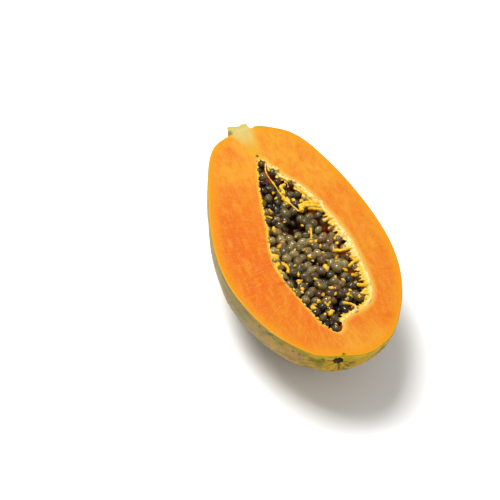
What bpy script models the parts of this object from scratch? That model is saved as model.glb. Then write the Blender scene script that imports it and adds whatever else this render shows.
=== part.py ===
"""Half a ripe papaya, cut lengthwise and lying on its back with the cut face up.

Three pieces: the fruit half (skin, flesh and stalk stub, grown as one), the yellow placenta
that lines the mouth of the seed cavity and sends threads over it, and the seeds in their bed.
Metres, +Z up, +Y towards the stalk, origin under the middle of the part.
Every piece is modelled with the cut plane at height 0 and then raised by CUT_HEIGHT.
"""

import math
import random

import bmesh
import bpy
import numpy as np
from mathutils import Euler, Vector

MM = 0.001
FLAT_TOLERANCE = 0.01 * MM
FINE_STEP = 0.1 * MM
INSET_STEP = 0.004
SHARP_ANGLE = math.radians(35)

# Driving dimensions of the fruit
LENGTH = 176 * MM
WIDTH = 103.5 * MM
CUT_HEIGHT = 50.5 * MM
REST_SPOT_RISE = 1.1 * MM
BACK_LEAN = 0.8
RIDGES = 5
RIDGE_SWELL = 0.010
KEEL_REACH = 0.3
KEEL_POINTS = 61

# Cut outline of the flesh in millimetres, from the blossom end round by the right-hand side
FACE_OUTLINE_MM = (
    (-2.5, -86.8),
    (8.0, -87.7),
    (17.5, -84.5),
    (28.8, -77.0),
    (41.2, -58.0),
    (49.0, -37.5),
    (51.8, -16.5),
    (50.1, 7.5),
    (44.3, 35.0),
    (36.2, 58.5),
    (29.2, 72.5),
    (21.2, 80.4),
    (10.0, 84.8),
    (-3.0, 84.6),
    (-14.0, 81.4),
    (-22.3, 77.0),
    (-28.0, 70.5),
    (-33.8, 58.5),
    (-42.6, 32.6),
    (-49.1, 7.0),
    (-51.3, -16.5),
    (-49.3, -34.0),
    (-42.9, -53.3),
    (-33.4, -69.5),
    (-19.6, -82.4),
)
OUTLINE_STEPS = 3
WALL_RINGS = 12
LAST_RING_TURN = math.radians(84)

# Blossom scar: a shallow dish in the skin, just under the cut edge
SCAR_PLACE = (-6.3 * MM, -3.6 * MM)
SCAR_RADII = (2.7 * MM, 1.5 * MM, 2.1 * MM)

# Stalk stub, halved with the fruit: (place along Y, radius) from its foot in the flesh
STUB_CENTRE_X = -5.2 * MM
STUB_PROFILE_MM = ((72.0, 5.0), (79.5, 9.2), (83.5, 8.0), (85.8, 7.3), (87.2, 7.8), (88.0, 6.8))
STUB_RIB_SWELL = 0.05
STUB_SIDES = 16

# Seed cavity outline in the cut face in millimetres, from its blossom end round by the right
CAVITY_OUTLINE_MM = (
    (-3.0, -70.0),
    (1.4, -68.0),
    (4.0, -63.0),
    (10.0, -60.0),
    (20.0, -56.5),
    (26.5, -49.5),
    (29.2, -37.0),
    (29.9, -21.0),
    (29.2, -7.0),
    (26.0, 7.5),
    (22.0, 21.0),
    (15.8, 35.0),
    (8.6, 45.0),
    (3.2, 53.5),
    (-1.6, 61.0),
    (-5.8, 54.0),
    (-9.0, 43.0),
    (-12.8, 27.0),
    (-15.8, 10.5),
    (-20.2, -8.0),
    (-21.0, -19.0),
    (-19.4, -30.0),
    (-15.6, -43.5),
    (-11.8, -56.0),
    (-8.6, -64.5),
)
CAVITY_STEPS = 2
CAVITY_RINGS = 8
CAVITY_MIDDLE = (3 * MM, -20 * MM)
CAVITY_DEPTH_SHARE = 0.82
CAVITY_ADDED_DEPTH = 5.0 * MM
CUTTER_RISE = 2.0 * MM

# Placenta: a band round the mouth of the cavity, with fringes and a few long threads
PIECE_GAP = 0.4 * MM
BAND_THICKNESS = 1.3 * MM
BAND_LEAST_SHARE = 0.4
BAND_HALF_WIDTHS = (4.0 * MM, 9.0 * MM)
BAND_TOP_DROP = 0.3 * MM
BAND_RINGS = 2
THREAD_SIDES = 4
THREAD_STEP = 2.0 * MM
THREAD_GAP = 0.6 * MM
FOOT_DROP = 1.5 * MM
FOOT_CLEARANCE = 1.3
FRINGE_COUNT = 42
FRINGE_POINTS = 4
FRINGE_LEAST_HALF_WIDTH = 7.0 * MM
FRINGE_LENGTHS = (4.0 * MM, 8.0 * MM)
FRINGE_RADII = (1.0 * MM, 0.45 * MM)
FRINGE_YAW = 0.7
FRINGE_DRAW = 5
# Long threads: radius, the points they pass over from a foot in the band, and their feet
THREADS_MM = (
    (0.6, ((-2.6, 57.0), (-1.8, 48.0), (-0.8, 40.0), (1.6, 32.0), (5.2, 25.0), (9.5, 19.0)), 1),
    (1.0, ((24.0, 14.0), (20.0, 18.0), (14.5, 21.0), (8.5, 18.0), (6.6, 14.5)), 1),
    (0.7, ((28.0, -2.0), (20.0, -3.0), (13.0, -5.5), (9.0, -10.0)), 1),
    (0.6, ((-19.5, -12.0), (-13.0, -12.5), (-8.0, -17.0)), 1),
)

# Seeds
SEED_COUNT = 146
SEED_DIAMETER = 5.7 * MM
SEED_SIZE_SPREAD = 0.08
SEED_LEAST_RADIUS = 2.0 * MM
SEED_PROPORTIONS = (0.94, 0.90, 1.0)
SEED_SIDES = 7
SEED_RINGS = 4
SEED_LIFT_SPREAD = 1.2 * MM
SEED_DRAW = 21
SEED_TRIALS = 14
SETTLING_STEPS = 80
SETTLING_PUSH = 0.35
PACKING = 1.03
BED_DROP = 3.4 * MM
BED_RINGS = 5
BED_SHARE = 0.55
BED_SLACK = 0.7 * MM
PILE_LEVEL = -1.4 * MM
PILE_DIP_SHARE = 0.45
TROUGH_SHARE = 0.6
# Hollows (minus) and swells (plus) of the seed pile: x, y, rise, reach across, reach along
PILE_SHAPE_MM = (
    (-4.5, 11.0, -6.0, 6.0, 9.0),
    (-6.0, -18.0, -2.5, 4.0, 5.0),
    (27.0, -14.0, -3.5, 6.0, 34.0),
    (3.0, 44.0, -2.0, 12.0, 14.0),
    (2.0, -42.0, 1.8, 14.0, 15.0),
    (8.0, 0.0, 1.2, 8.0, 14.0),
)

# Base colour and roughness of each finish
FINISHES = {
    "skin": ((0.60, 0.42, 0.06), 0.42),
    "flesh": ((0.93, 0.26, 0.02), 0.38),
    "cavity_wall": ((0.85, 0.22, 0.02), 0.45),
    "placenta": ((0.93, 0.55, 0.10), 0.40),
    "seed": ((0.10, 0.09, 0.06), 0.25),
}


def clear_scene():
    for old in list(bpy.data.objects):
        bpy.data.objects.remove(old)


def material(name):
    colour, roughness = FINISHES[name]
    made = bpy.data.materials.new(name)
    made.use_nodes = True
    shader = made.node_tree.nodes["Principled BSDF"]
    shader.inputs["Base Color"].default_value = (*colour, 1)
    shader.inputs["Roughness"].default_value = roughness
    shader.inputs["Metallic"].default_value = 0
    return made


def mesh_from(name, shape):
    """A mesh made from a bmesh, with its faces turned out."""
    bmesh.ops.recalc_face_normals(shape, faces=shape.faces)
    mesh = bpy.data.meshes.new(name)
    shape.to_mesh(mesh)
    shape.free()
    return mesh


def loft(rings, closed=False):
    """A bmesh through rings of equal length, capped at both ends or joined end to end."""
    shape = bmesh.new()
    loops = [[shape.verts.new(point) for point in ring] for ring in rings]
    pairs = list(zip(loops, loops[1:]))
    if closed:
        pairs.append((loops[-1], loops[0]))
    for first, second in pairs:
        for i in range(len(first)):
            j = (i + 1) % len(first)
            shape.faces.new((first[i], first[j], second[j], second[i]))
    if not closed:
        shape.faces.new(loops[0])
        shape.faces.new(loops[-1])
    return shape


def add_object(name, mesh, collection=None):
    made = bpy.data.objects.new(name, mesh)
    (collection or bpy.context.scene.collection).objects.link(made)
    return made


def apply_boolean(target, operation, other, solver="EXACT"):
    """Combine a target with an object or a collection, and drop what was combined."""
    step = target.modifiers.new(operation.lower(), "BOOLEAN")
    step.operation = operation
    step.solver = solver
    if isinstance(other, bpy.types.Collection):
        step.operand_type = "COLLECTION"
        step.collection = other
    else:
        step.object = other
    graph = bpy.context.evaluated_depsgraph_get()
    result = bpy.data.meshes.new_from_object(target.evaluated_get(graph))
    target.modifiers.clear()
    target.data = result
    if isinstance(other, bpy.types.Collection):
        for used in list(other.objects):
            bpy.data.objects.remove(used)
        bpy.data.collections.remove(other)
    else:
        bpy.data.objects.remove(other)


def keep_main_body(target):
    """Drop loose scraps, and fill hollows that joining has sealed: only the largest shell stays."""
    shape = bmesh.new()
    shape.from_mesh(target.data)
    left = set(shape.verts)
    shells = []
    while left:
        shell, edge = set(), {left.pop()}
        while edge:
            shell |= edge
            edge = {e.other_vert(v) for v in edge for e in v.link_edges} - shell
        left -= shell
        shells.append(shell)
    shells.sort(key=len)
    for scrap in shells[:-1]:
        bmesh.ops.delete(shape, geom=list(scrap), context="VERTS")
    shape.to_mesh(target.data)
    shape.free()


def new_collection(name):
    made = bpy.data.collections.new(name)
    bpy.context.scene.collection.children.link(made)
    return made


def smooth_loop(points, steps):
    """A closed Catmull-Rom curve through the points, with this many steps between two of them."""
    knots = np.array(points, float)
    before, after, beyond = (np.roll(knots, shift, axis=0) for shift in (1, -1, -2))
    shares = (np.arange(steps) / steps)[None, :, None]
    a, b, c, d = (side[:, None, :] for side in (before, knots, after, beyond))
    curve = 2 * b + (c - a) * shares
    curve = curve + (2 * a - 5 * b + 4 * c - d) * shares**2
    curve = curve + (3 * b - a - 3 * c + d) * shares**3
    return curve.reshape(-1, 2) / 2


class RoundForm:
    """A round form hanging under the cut plane: each section across it is half an ellipse."""

    def __init__(self, outline, middle, depth_share, added_depth=0.0, lean=0.0, ridge_swell=0.0):
        self.outline = outline
        self.ahead = np.roll(outline, -1, axis=0)
        self.middle = np.array(middle)
        self.depth_share = depth_share
        self.added_depth = added_depth
        self.lean = lean
        self.ridge_swell = ridge_swell

    def crossings(self, y):
        """Where the outline crosses the line across the form at y."""
        low, high = self.outline[:, 1], self.ahead[:, 1]
        cut = (low <= y) != (high <= y)
        a, b = self.outline[cut], self.ahead[cut]
        return a[:, 0] + (b[:, 0] - a[:, 0]) * (y - a[:, 1]) / (b[:, 1] - a[:, 1])

    def section(self, y):
        """Middle and half-width of the outline at y."""
        edges = self.crossings(y)
        if len(edges) < 2:
            return 0.0, 0.0
        return (edges.max() + edges.min()) / 2, (edges.max() - edges.min()) / 2

    def fullness(self, half):
        """Depth of a section against its half-width: narrow sections are deeper than round."""
        return self.depth_share * (1 + self.added_depth / (half + self.added_depth))

    def depth(self, x, y):
        """Depth of the wall under the cut plane at a point of it."""
        middle, half = self.section(y)
        if abs(x - middle) >= half:
            return 0.0
        across = (x - middle) / half
        ridge = self.ridge_swell * math.sin(RIDGES * math.acos(across))
        return self.fullness(half) * half * math.sqrt(1 - across**2) * (1 + self.lean * y + ridge)

    def room(self, x, y, z=0.0):
        """How far a point is inside the wall, and the way inwards, measured in the cut plane."""
        middle, half = self.section(y)
        side = 1 if x >= middle else -1
        reach = math.hypot(x - middle, z / self.fullness(half))
        point = np.array((middle + side * reach, y))
        along = self.ahead - self.outline
        share = ((point - self.outline) * along).sum(1) / (along**2).sum(1)
        nearest = self.outline + np.clip(share, 0, 1)[:, None] * along
        gap = np.hypot(*(point - nearest).T)
        i = gap.argmin()
        inward = np.array((-along[i, 1], along[i, 0])) / math.hypot(*along[i])
        inside = np.count_nonzero(self.crossings(y) > point[0]) % 2 == 1
        return (gap[i] if inside else -gap[i]), inward

    def inset(self, distance):
        """The same kind of form with its wall this far inside, by a function of half-width."""
        loop = []
        for point in self.outline:
            arm = point - self.middle
            far = distance(self.section(point[1])[1])
            share = 1.0
            while share > 0 and self.room(*(self.middle + arm * share))[0] < far:
                share -= INSET_STEP
            loop.append(self.middle + arm * share)
        return RoundForm(np.array(loop), self.middle, self.depth_share, self.added_depth)

    def ring(self, share, height=None):
        """The outline shrunk to a share of itself, on the wall or at a height from a function."""
        plan = self.middle + (self.outline - self.middle) * share
        if height is None:
            return [(x, y, -self.depth(x, y)) for x, y in plan]
        return [(x, y, height(x, y)) for x, y in plan]


def face_form():
    outline = smooth_loop(FACE_OUTLINE_MM, OUTLINE_STEPS) * MM
    outline[:, 0] *= WIDTH / np.ptp(outline[:, 0])
    outline[:, 0] -= (outline[:, 0].max() + outline[:, 0].min()) / 2
    outline[:, 1] -= outline[:, 1].min() + LENGTH / 2
    form = RoundForm(outline, (0.0, 0.0), 1.0, lean=BACK_LEAN, ridge_swell=RIDGE_SWELL)
    places = np.linspace(-KEEL_REACH, KEEL_REACH, KEEL_POINTS) * LENGTH
    keel = [(form.depth(form.section(y)[0], y), y) for y in places]
    deepest, place = max(keel)
    form.depth_share = (CUT_HEIGHT + REST_SPOT_RISE) / deepest
    form.middle = np.array((form.section(place)[0], place))
    return form


def cavity_form():
    outline = smooth_loop(CAVITY_OUTLINE_MM, CAVITY_STEPS) * MM
    return RoundForm(outline, CAVITY_MIDDLE, CAVITY_DEPTH_SHARE, CAVITY_ADDED_DEPTH)


def turns(count, last=LAST_RING_TURN):
    return [last * i / count for i in range(count + 1)]


def body_mesh(form):
    """The solid half, without its cavity, cut flat where it rests."""
    rings = [form.ring(math.cos(turn)) for turn in turns(WALL_RINGS)]
    rings[0] = [(x, y, 0.0) for x, y, _ in rings[0]]
    shape = loft(rings)
    parts = shape.verts[:] + shape.edges[:] + shape.faces[:]
    cut = bmesh.ops.bisect_plane(
        shape,
        geom=parts,
        dist=FLAT_TOLERANCE / 100,
        plane_co=(0, 0, -CUT_HEIGHT),
        plane_no=(0, 0, -1),
        clear_outer=True,
    )
    rim = [part for part in cut["geom_cut"] if isinstance(part, bmesh.types.BMEdge)]
    bmesh.ops.contextual_create(shape, geom=rim)
    return mesh_from("fruit_half", shape)


def cavity_cutter(cavity):
    """The cavity as a solid that rises clear of the cut plane."""
    rings = [cavity.ring(math.cos(turn)) for turn in turns(CAVITY_RINGS)]
    rings[0] = [(x, y, 0.0) for x, y, _ in rings[0]]
    rings.insert(0, [(x, y, CUTTER_RISE) for x, y, _ in rings[0]])
    return mesh_from("cavity", loft(rings))


def stub_mesh():
    """A ribbed stalk stub, halved by the cut plane."""
    rings = []
    for place, radius in STUB_PROFILE_MM:
        ring = []
        for i in range(STUB_SIDES + 1):
            turn = math.pi * (1 + i / STUB_SIDES)
            reach = radius * MM * (1 + STUB_RIB_SWELL * math.sin(RIDGES * turn))
            x = STUB_CENTRE_X + reach * math.cos(turn)
            z = min(reach * math.sin(turn), 0.0) if 0 < i < STUB_SIDES else 0.0
            ring.append((x, place * MM, z))
        rings.append(ring)
    return mesh_from("stub", loft(rings))


def scar_cutter(form):
    """A small dish where the dried flower fell off, set on the surface of the blossom end."""
    x, z = SCAR_PLACE
    y = -LENGTH / 2
    while form.depth(x, y) < -z:
        y += FINE_STEP
    shape = bmesh.new()
    bmesh.ops.create_icosphere(shape, subdivisions=2, radius=1.0)
    bmesh.ops.scale(shape, vec=SCAR_RADII, verts=shape.verts)
    bmesh.ops.translate(shape, vec=(x, y, z), verts=shape.verts)
    return mesh_from("scar", shape)


def fruit_half(form, cavity):
    half = add_object("fruit_half", body_mesh(form))
    apply_boolean(half, "UNION", add_object("stub", stub_mesh()))
    apply_boolean(half, "DIFFERENCE", add_object("cavity", cavity_cutter(cavity)))
    apply_boolean(half, "DIFFERENCE", add_object("scar", scar_cutter(form)))
    for name in ("skin", "flesh", "cavity_wall"):
        half.data.materials.append(material(name))
    for face in half.data.polygons:
        x, y, z = face.center
        in_mouth = cavity.room(x, y)[0] > 0 and -z < form.depth(x, y) / 2
        if z > -FLAT_TOLERANCE:
            face.material_index = 1
        elif in_mouth and face.normal.z > 0:
            face.material_index = 2
        else:
            face.material_index = 0
    return half


def pile_height(cavity, x, y):
    """Height of the top of the seed pile at a point of the cut plane."""
    height = PILE_LEVEL
    for middle_x, middle_y, rise, across, along in PILE_SHAPE_MM:
        far = ((x / MM - middle_x) / across) ** 2 + ((y / MM - middle_y) / along) ** 2
        height += rise * MM * math.exp(-far)
    half = cavity.section(y)[1]
    return max(height, -PILE_DIP_SHARE * cavity.fullness(half) * half)


def band_thickness(half):
    """The band thins out where the cavity is narrow."""
    narrow, wide = BAND_HALF_WIDTHS
    return BAND_THICKNESS * min(max((half - narrow) / (wide - narrow), BAND_LEAST_SHARE), 1.0)


def seed_margin(half):
    """From the wall to a seed: a gap, the band and another gap."""
    return PIECE_GAP * 2 + band_thickness(half)


def seed_spot(cavity, x, y, radius, lift):
    """Centre of a seed at a point of the cut plane: on the pile, but not jammed in a narrow end."""
    half = cavity.section(y)[1]
    trough = max(cavity.fullness(half) * half - radius - seed_margin(half), 0.0)
    level = pile_height(cavity, x, y) - radius + lift
    return np.array((x, y, max(level, -TROUGH_SHARE * trough)))


def place_seeds(cavity):
    """Centres and radii of the seeds: spread evenly, then pushed apart and off the wall."""
    draw = random.Random(SEED_DRAW)
    low, high = cavity.outline.min(0), cavity.outline.max(0)
    centres, radii, lifts = [], [], []
    while len(centres) < SEED_COUNT:
        radius = SEED_DIAMETER / 2 * (1 + SEED_SIZE_SPREAD * draw.uniform(-1, 1))
        lift = SEED_LIFT_SPREAD * draw.uniform(-1, 1)
        best, best_gap = None, -1.0
        for _ in range(SEED_TRIALS):
            x, y = (draw.uniform(low[k], high[k]) for k in (0, 1))
            spot = seed_spot(cavity, x, y, radius, lift)
            if cavity.room(*spot)[0] < SEED_LEAST_RADIUS + seed_margin(cavity.section(y)[1]):
                continue
            gap = min((np.linalg.norm(spot - other) for other in centres), default=1.0)
            if gap > best_gap:
                best, best_gap = spot, gap
        if best is not None:
            centres.append(best)
            radii.append(radius)
            lifts.append(lift)
    centres, radii = np.array(centres), np.array(radii)
    least = PACKING * (radii[:, None] + radii[None, :])
    for _ in range(SETTLING_STEPS):
        apart = centres[:, None, :] - centres[None, :, :]
        gaps = np.linalg.norm(apart, axis=2) + np.eye(len(centres))
        push = np.clip(least - gaps, 0, None) * (1 - np.eye(len(centres)))
        centres = centres + SETTLING_PUSH * (apart * (push / gaps)[:, :, None]).sum(1)
        for i, (x, y, _) in enumerate(centres):
            centres[i] = seed_spot(cavity, x, y, radii[i], lifts[i])
            room, inward = cavity.room(*centres[i])
            lack = radii[i] + seed_margin(cavity.section(y)[1]) - room
            if lack > 0:
                centres[i, :2] += inward * lack
    rooms = np.array([cavity.room(*c)[0] - seed_margin(cavity.section(c[1])[1]) for c in centres])
    kept = rooms >= SEED_LEAST_RADIUS
    return centres[kept], np.minimum(radii, rooms)[kept]


def bed_height(cavity, x, y):
    """Height of the top of the bed that the seeds stand out of."""
    half = cavity.section(y)[1]
    deepest = cavity.fullness(half) * half
    return -min(BED_DROP - pile_height(cavity, x, y), BED_SHARE * deepest)


def bed_mesh(cavity):
    """The closed bed under the seeds: it follows the cavity below and the seed pile above."""
    room = cavity.inset(lambda half: seed_margin(half) + BED_SLACK)
    loop = []
    for point in room.outline[::2]:
        share, spot = 1.0, point
        while room.depth(*spot) < -bed_height(cavity, *spot):
            share -= INSET_STEP
            spot = room.middle + (point - room.middle) * share
        loop.append(spot)
    rim = RoundForm(np.array(loop), room.middle, room.depth_share)
    shares = [math.cos(turn) for turn in turns(BED_RINGS)]
    top = [rim.ring(share, lambda x, y: bed_height(cavity, x, y)) for share in shares]
    bottom = [rim.ring(share, lambda x, y: -room.depth(x, y)) for share in shares[1:]]
    return mesh_from("seeds", loft(top[::-1] + bottom))


def seed_mesh():
    shape = bmesh.new()
    bmesh.ops.create_uvsphere(shape, u_segments=SEED_SIDES, v_segments=SEED_RINGS, radius=1.0)
    bmesh.ops.scale(shape, vec=SEED_PROPORTIONS, verts=shape.verts)
    return mesh_from("seed", shape)


def seeds(cavity, centres, radii):
    """All the seeds, joined with their bed in one body."""
    bunch = add_object("seeds", bed_mesh(cavity))
    repeats = new_collection("seed_repeats")
    shared = seed_mesh()
    draw = random.Random(SEED_DRAW + 1)
    for i, (centre, radius) in enumerate(zip(centres, radii)):
        seed = add_object(f"seed_{i:03d}", shared, repeats)
        seed.location = centre
        seed.rotation_euler = [draw.uniform(0, 2 * math.pi) for _ in range(3)]
        seed.scale = (radius, radius, radius)
    bpy.context.view_layer.update()
    apply_boolean(bunch, "UNION", repeats, solver="MANIFOLD")
    keep_main_body(bunch)
    bunch.data.materials.clear()
    bunch.data.materials.append(material("seed"))
    return bunch


class Drape:
    """The height at which a round thread clears the seeds and their bed."""

    def __init__(self, cavity, centres, radii):
        self.cavity = cavity
        self.centres = centres
        self.radii = radii

    def height(self, x, y, thread_radius):
        reach = self.radii + thread_radius + THREAD_GAP
        flat = np.hypot(self.centres[:, 0] - x, self.centres[:, 1] - y)
        over = flat < reach
        lift = self.centres[over, 2] + np.sqrt(reach[over] ** 2 - flat[over] ** 2)
        bed = bed_height(self.cavity, x, y) + thread_radius + THREAD_GAP
        return max([bed, *lift])


def tube(points, radii):
    """A thread of a few sides through the points, with its own radius at each."""
    rings = []
    for i, point in enumerate(points):
        ahead = points[min(i + 1, len(points) - 1)] - points[max(i - 1, 0)]
        turn = Vector(ahead).to_track_quat("Z", "Y").to_matrix()
        ring = []
        for k in range(THREAD_SIDES):
            angle = 2 * math.pi * k / THREAD_SIDES
            corner = turn @ Vector((math.cos(angle), math.sin(angle), 0))
            ring.append(Vector(point) + corner * radii[i])
        rings.append(ring)
    return mesh_from("thread", loft(rings))


def route(corners, step=THREAD_STEP):
    """Evenly spaced points along a smooth open curve through the corners."""
    ends = [2 * corners[0] - corners[1], *corners, 2 * corners[-1] - corners[-2]]
    points = []
    for a, b, c, d in zip(ends, ends[1:], ends[2:], ends[3:]):
        count = max(2, round(math.dist(b, c) / step))
        for t in np.arange(count) / count:
            bend = (2 * a - 5 * b + 4 * c - d) * t**2 + (3 * b - a - 3 * c + d) * t**3
            points.append((2 * b + (c - a) * t + bend) / 2)
    return [*points, corners[-1]]


def band_mesh(cavity):
    """The thin band that lines the mouth of the cavity."""
    outer = cavity.inset(lambda half: PIECE_GAP)
    inner = cavity.inset(lambda half: PIECE_GAP + band_thickness(half))
    rings = []
    down = turns(CAVITY_RINGS)[: BAND_RINGS + 1]
    for form, order in ((outer, down), (inner, down[::-1])):
        for turn in order:
            ring = form.ring(math.cos(turn))
            rings.append([(x, y, min(z, -BAND_TOP_DROP)) for x, y, z in ring])
    return mesh_from("placenta", loft(rings, closed=True))


def strand_points(cavity, drape, path, radii, feet):
    """A thread laid over the seeds: off the wall, and low where it has a foot in the band."""
    points = []
    for i, (plan, radius) in enumerate(zip(path, radii)):
        spot = np.array((*plan, -FOOT_DROP))
        for _ in range(3):
            room, inward = cavity.room(spot[0], spot[1], FOOT_DROP + radius)
            spot[:2] += inward * max(PIECE_GAP + FOOT_CLEARANCE * radius - room, 0.0)
        if i not in feet:
            spot[2] = max(drape.height(spot[0], spot[1], radius), -FOOT_DROP)
        points.append(spot)
    return points


def fringe_paths(cavity):
    """Short runs inwards from places spread round the mouth of the cavity."""
    draw = random.Random(FRINGE_DRAW)
    for i in range(FRINGE_COUNT):
        start = cavity.outline[int(len(cavity.outline) * i / FRINGE_COUNT)]
        if cavity.section(start[1])[1] < FRINGE_LEAST_HALF_WIDTH:
            continue
        inward = Vector(cavity.room(*start)[1]).to_3d()
        inward.rotate(Euler((0, 0, draw.uniform(-FRINGE_YAW, FRINGE_YAW))))
        run = np.linspace(0, draw.uniform(*FRINGE_LENGTHS), FRINGE_POINTS)
        yield start + run[:, None] * np.array(inward[:2])


def placenta(cavity, drape):
    lining = add_object("placenta", band_mesh(cavity))
    strands = new_collection("strands")
    radii = np.linspace(*FRINGE_RADII, FRINGE_POINTS)
    for i, path in enumerate(fringe_paths(cavity)):
        points = strand_points(cavity, drape, path, radii, feet=(0,))
        add_object(f"fringe_{i:02d}", tube(points, radii), strands)
    for i, (radius, corners, feet) in enumerate(THREADS_MM):
        path = route([np.array(corner) * MM for corner in corners])
        radii = [radius * MM] * len(path)
        ends = (0, len(path) - 1)[:feet]
        points = strand_points(cavity, drape, path, radii, ends)
        add_object(f"thread_{i}", tube(points, radii), strands)
    apply_boolean(lining, "UNION", strands, solver="MANIFOLD")
    keep_main_body(lining)
    lining.data.materials.clear()
    lining.data.materials.append(material("placenta"))
    return lining


def main():
    clear_scene()
    form, cavity = face_form(), cavity_form()
    centres, radii = place_seeds(cavity)
    pieces = (
        fruit_half(form, cavity),
        placenta(cavity, Drape(cavity, centres, radii)),
        seeds(cavity, centres, radii),
    )
    for piece in pieces:
        piece.location.z = CUT_HEIGHT
        piece.data.shade_smooth()
        piece.data.set_sharp_from_angle(angle=SHARP_ANGLE)


main()
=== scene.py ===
"""Half a ripe papaya, cut lengthwise and lying on its back on a white table.

The CAD frame gives three nodes: the fruit half, the placenta and the seeds. Each is replaced here
by finer pieces that keep its form. Lengths are metres unless a name ends in _mm, +Z is up, and the
stalk end points along +Y.
"""

import logging
import math
import random
from collections.abc import Mapping, Sequence
from dataclasses import dataclass, field
from enum import Enum, IntEnum
from typing import Any

import bpy
import numpy as np
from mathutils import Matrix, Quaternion, Vector, noise


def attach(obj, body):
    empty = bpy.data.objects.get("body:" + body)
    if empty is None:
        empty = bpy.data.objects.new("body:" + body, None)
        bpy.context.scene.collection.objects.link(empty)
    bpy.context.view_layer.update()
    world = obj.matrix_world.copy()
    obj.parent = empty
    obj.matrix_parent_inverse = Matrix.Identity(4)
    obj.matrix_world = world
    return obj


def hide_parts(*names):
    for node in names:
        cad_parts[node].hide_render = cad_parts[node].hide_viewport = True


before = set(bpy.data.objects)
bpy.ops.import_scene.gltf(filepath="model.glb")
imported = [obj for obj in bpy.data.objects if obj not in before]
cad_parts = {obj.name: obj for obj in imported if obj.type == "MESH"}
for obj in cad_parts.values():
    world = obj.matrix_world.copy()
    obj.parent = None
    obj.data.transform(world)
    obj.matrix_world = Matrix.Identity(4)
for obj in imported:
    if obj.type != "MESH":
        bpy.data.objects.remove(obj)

LOG = logging.getLogger("papaya")
MM = 0.001
BODY = "root"

Array = np.ndarray
NO_FACES = np.zeros((0, 4), int)


class Slot(Enum):
    """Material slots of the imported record."""

    FRUIT = "fruit"
    PLACENTA = "placenta"
    SEED = "seed"


class FruitSide(IntEnum):
    """Sides of the fruit half, in the order of its finishes."""

    SKIN = 0
    FLESH = 1
    WALL = 2


class SeedShell(IntEnum):
    """Shells of a seed, in the order of its finishes."""

    SAC = 0
    COAT = 1


def linear(colour: str) -> tuple[float, float, float, float]:
    """Turn an sRGB hex colour into linear RGBA for a shader socket.

    Args:
        colour: six hex digits after a "#".

    Returns:
        Linear red, green and blue, and an alpha of 1.
    """
    shares = [int(colour[i : i + 2], 16) / 255 for i in (1, 3, 5)]
    red, green, blue = (
        share / 12.92 if share <= 0.04045 else ((share + 0.055) / 1.055) ** 2.4 for share in shares
    )
    return red, green, blue, 1.0


def feed(tree: bpy.types.NodeTree, node: bpy.types.Node, inputs: Mapping[str | int, Any]) -> None:
    """Give a node its inputs.

    Args:
        tree: the node tree that it is in.
        node: the node.
        inputs: what each input takes: a value, or the output socket that feeds it.
    """
    for key, value in inputs.items():
        if isinstance(value, bpy.types.NodeSocket):
            tree.links.new(value, node.inputs[key])
        else:
            node.inputs[key].default_value = value


def add_node(
    tree: bpy.types.NodeTree, kind: str, inputs: Mapping[str | int, Any] | None = None, **settings: Any
) -> bpy.types.Node:
    """Add one shader node.

    Args:
        tree: the material's node tree.
        kind: the Blender type of the node.
        inputs: what each input takes: a value, or the output socket that feeds it.
        settings: properties of the node itself.

    Returns:
        The node.
    """
    node = tree.nodes.new(kind)
    for key, value in settings.items():
        setattr(node, key, value)
    feed(tree, node, inputs or {})
    return node


def smooth_loop(points: Sequence[tuple[float, float]], steps: int) -> Array:
    """Draw a smooth closed curve through its corners.

    Args:
        points: the corners that it passes through.
        steps: how many points it gets from one corner to the next.

    Returns:
        The points of the curve, one row each.
    """
    knots = np.array(points, float)
    before, after, beyond = (np.roll(knots, shift, axis=0) for shift in (1, -1, -2))
    shares = (np.arange(steps) / steps)[None, :, None]
    a, b, c, d = (side[:, None, :] for side in (before, knots, after, beyond))
    curve = 2 * b + (c - a) * shares
    curve = curve + (2 * a - 5 * b + 4 * c - d) * shares**2
    curve = curve + (3 * b - a - 3 * c + d) * shares**3
    return curve.reshape(-1, 2) / 2


def bumps(points: Array, scale: float, octaves: int = 1, shift: float = 0.0) -> Array:
    """Smooth noise at each point.

    Args:
        points: rows of x, y and z.
        scale: the size of one bump, in the unit of the points.
        octaves: how many layers of finer bumps are added.
        shift: a step through the noise, so that two uses differ.

    Returns:
        One value for each point, mostly from -0.6 to 0.6.
    """
    offset = Vector((shift, shift * 0.7, shift * 1.3))
    places = (points.reshape(-1, 3) / scale).tolist()
    values = [noise.fractal(Vector(place) + offset, 1.0, 2.0, octaves) for place in places]
    return np.array(values).reshape(points.shape[:-1])


def ease(value: Array | float, low: float, high: float) -> Array:
    """Smooth step from 0 at low to 1 at high."""
    share = np.clip((np.asarray(value) - low) / (high - low), 0, 1)
    return share * share * (3 - 2 * share)


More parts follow.
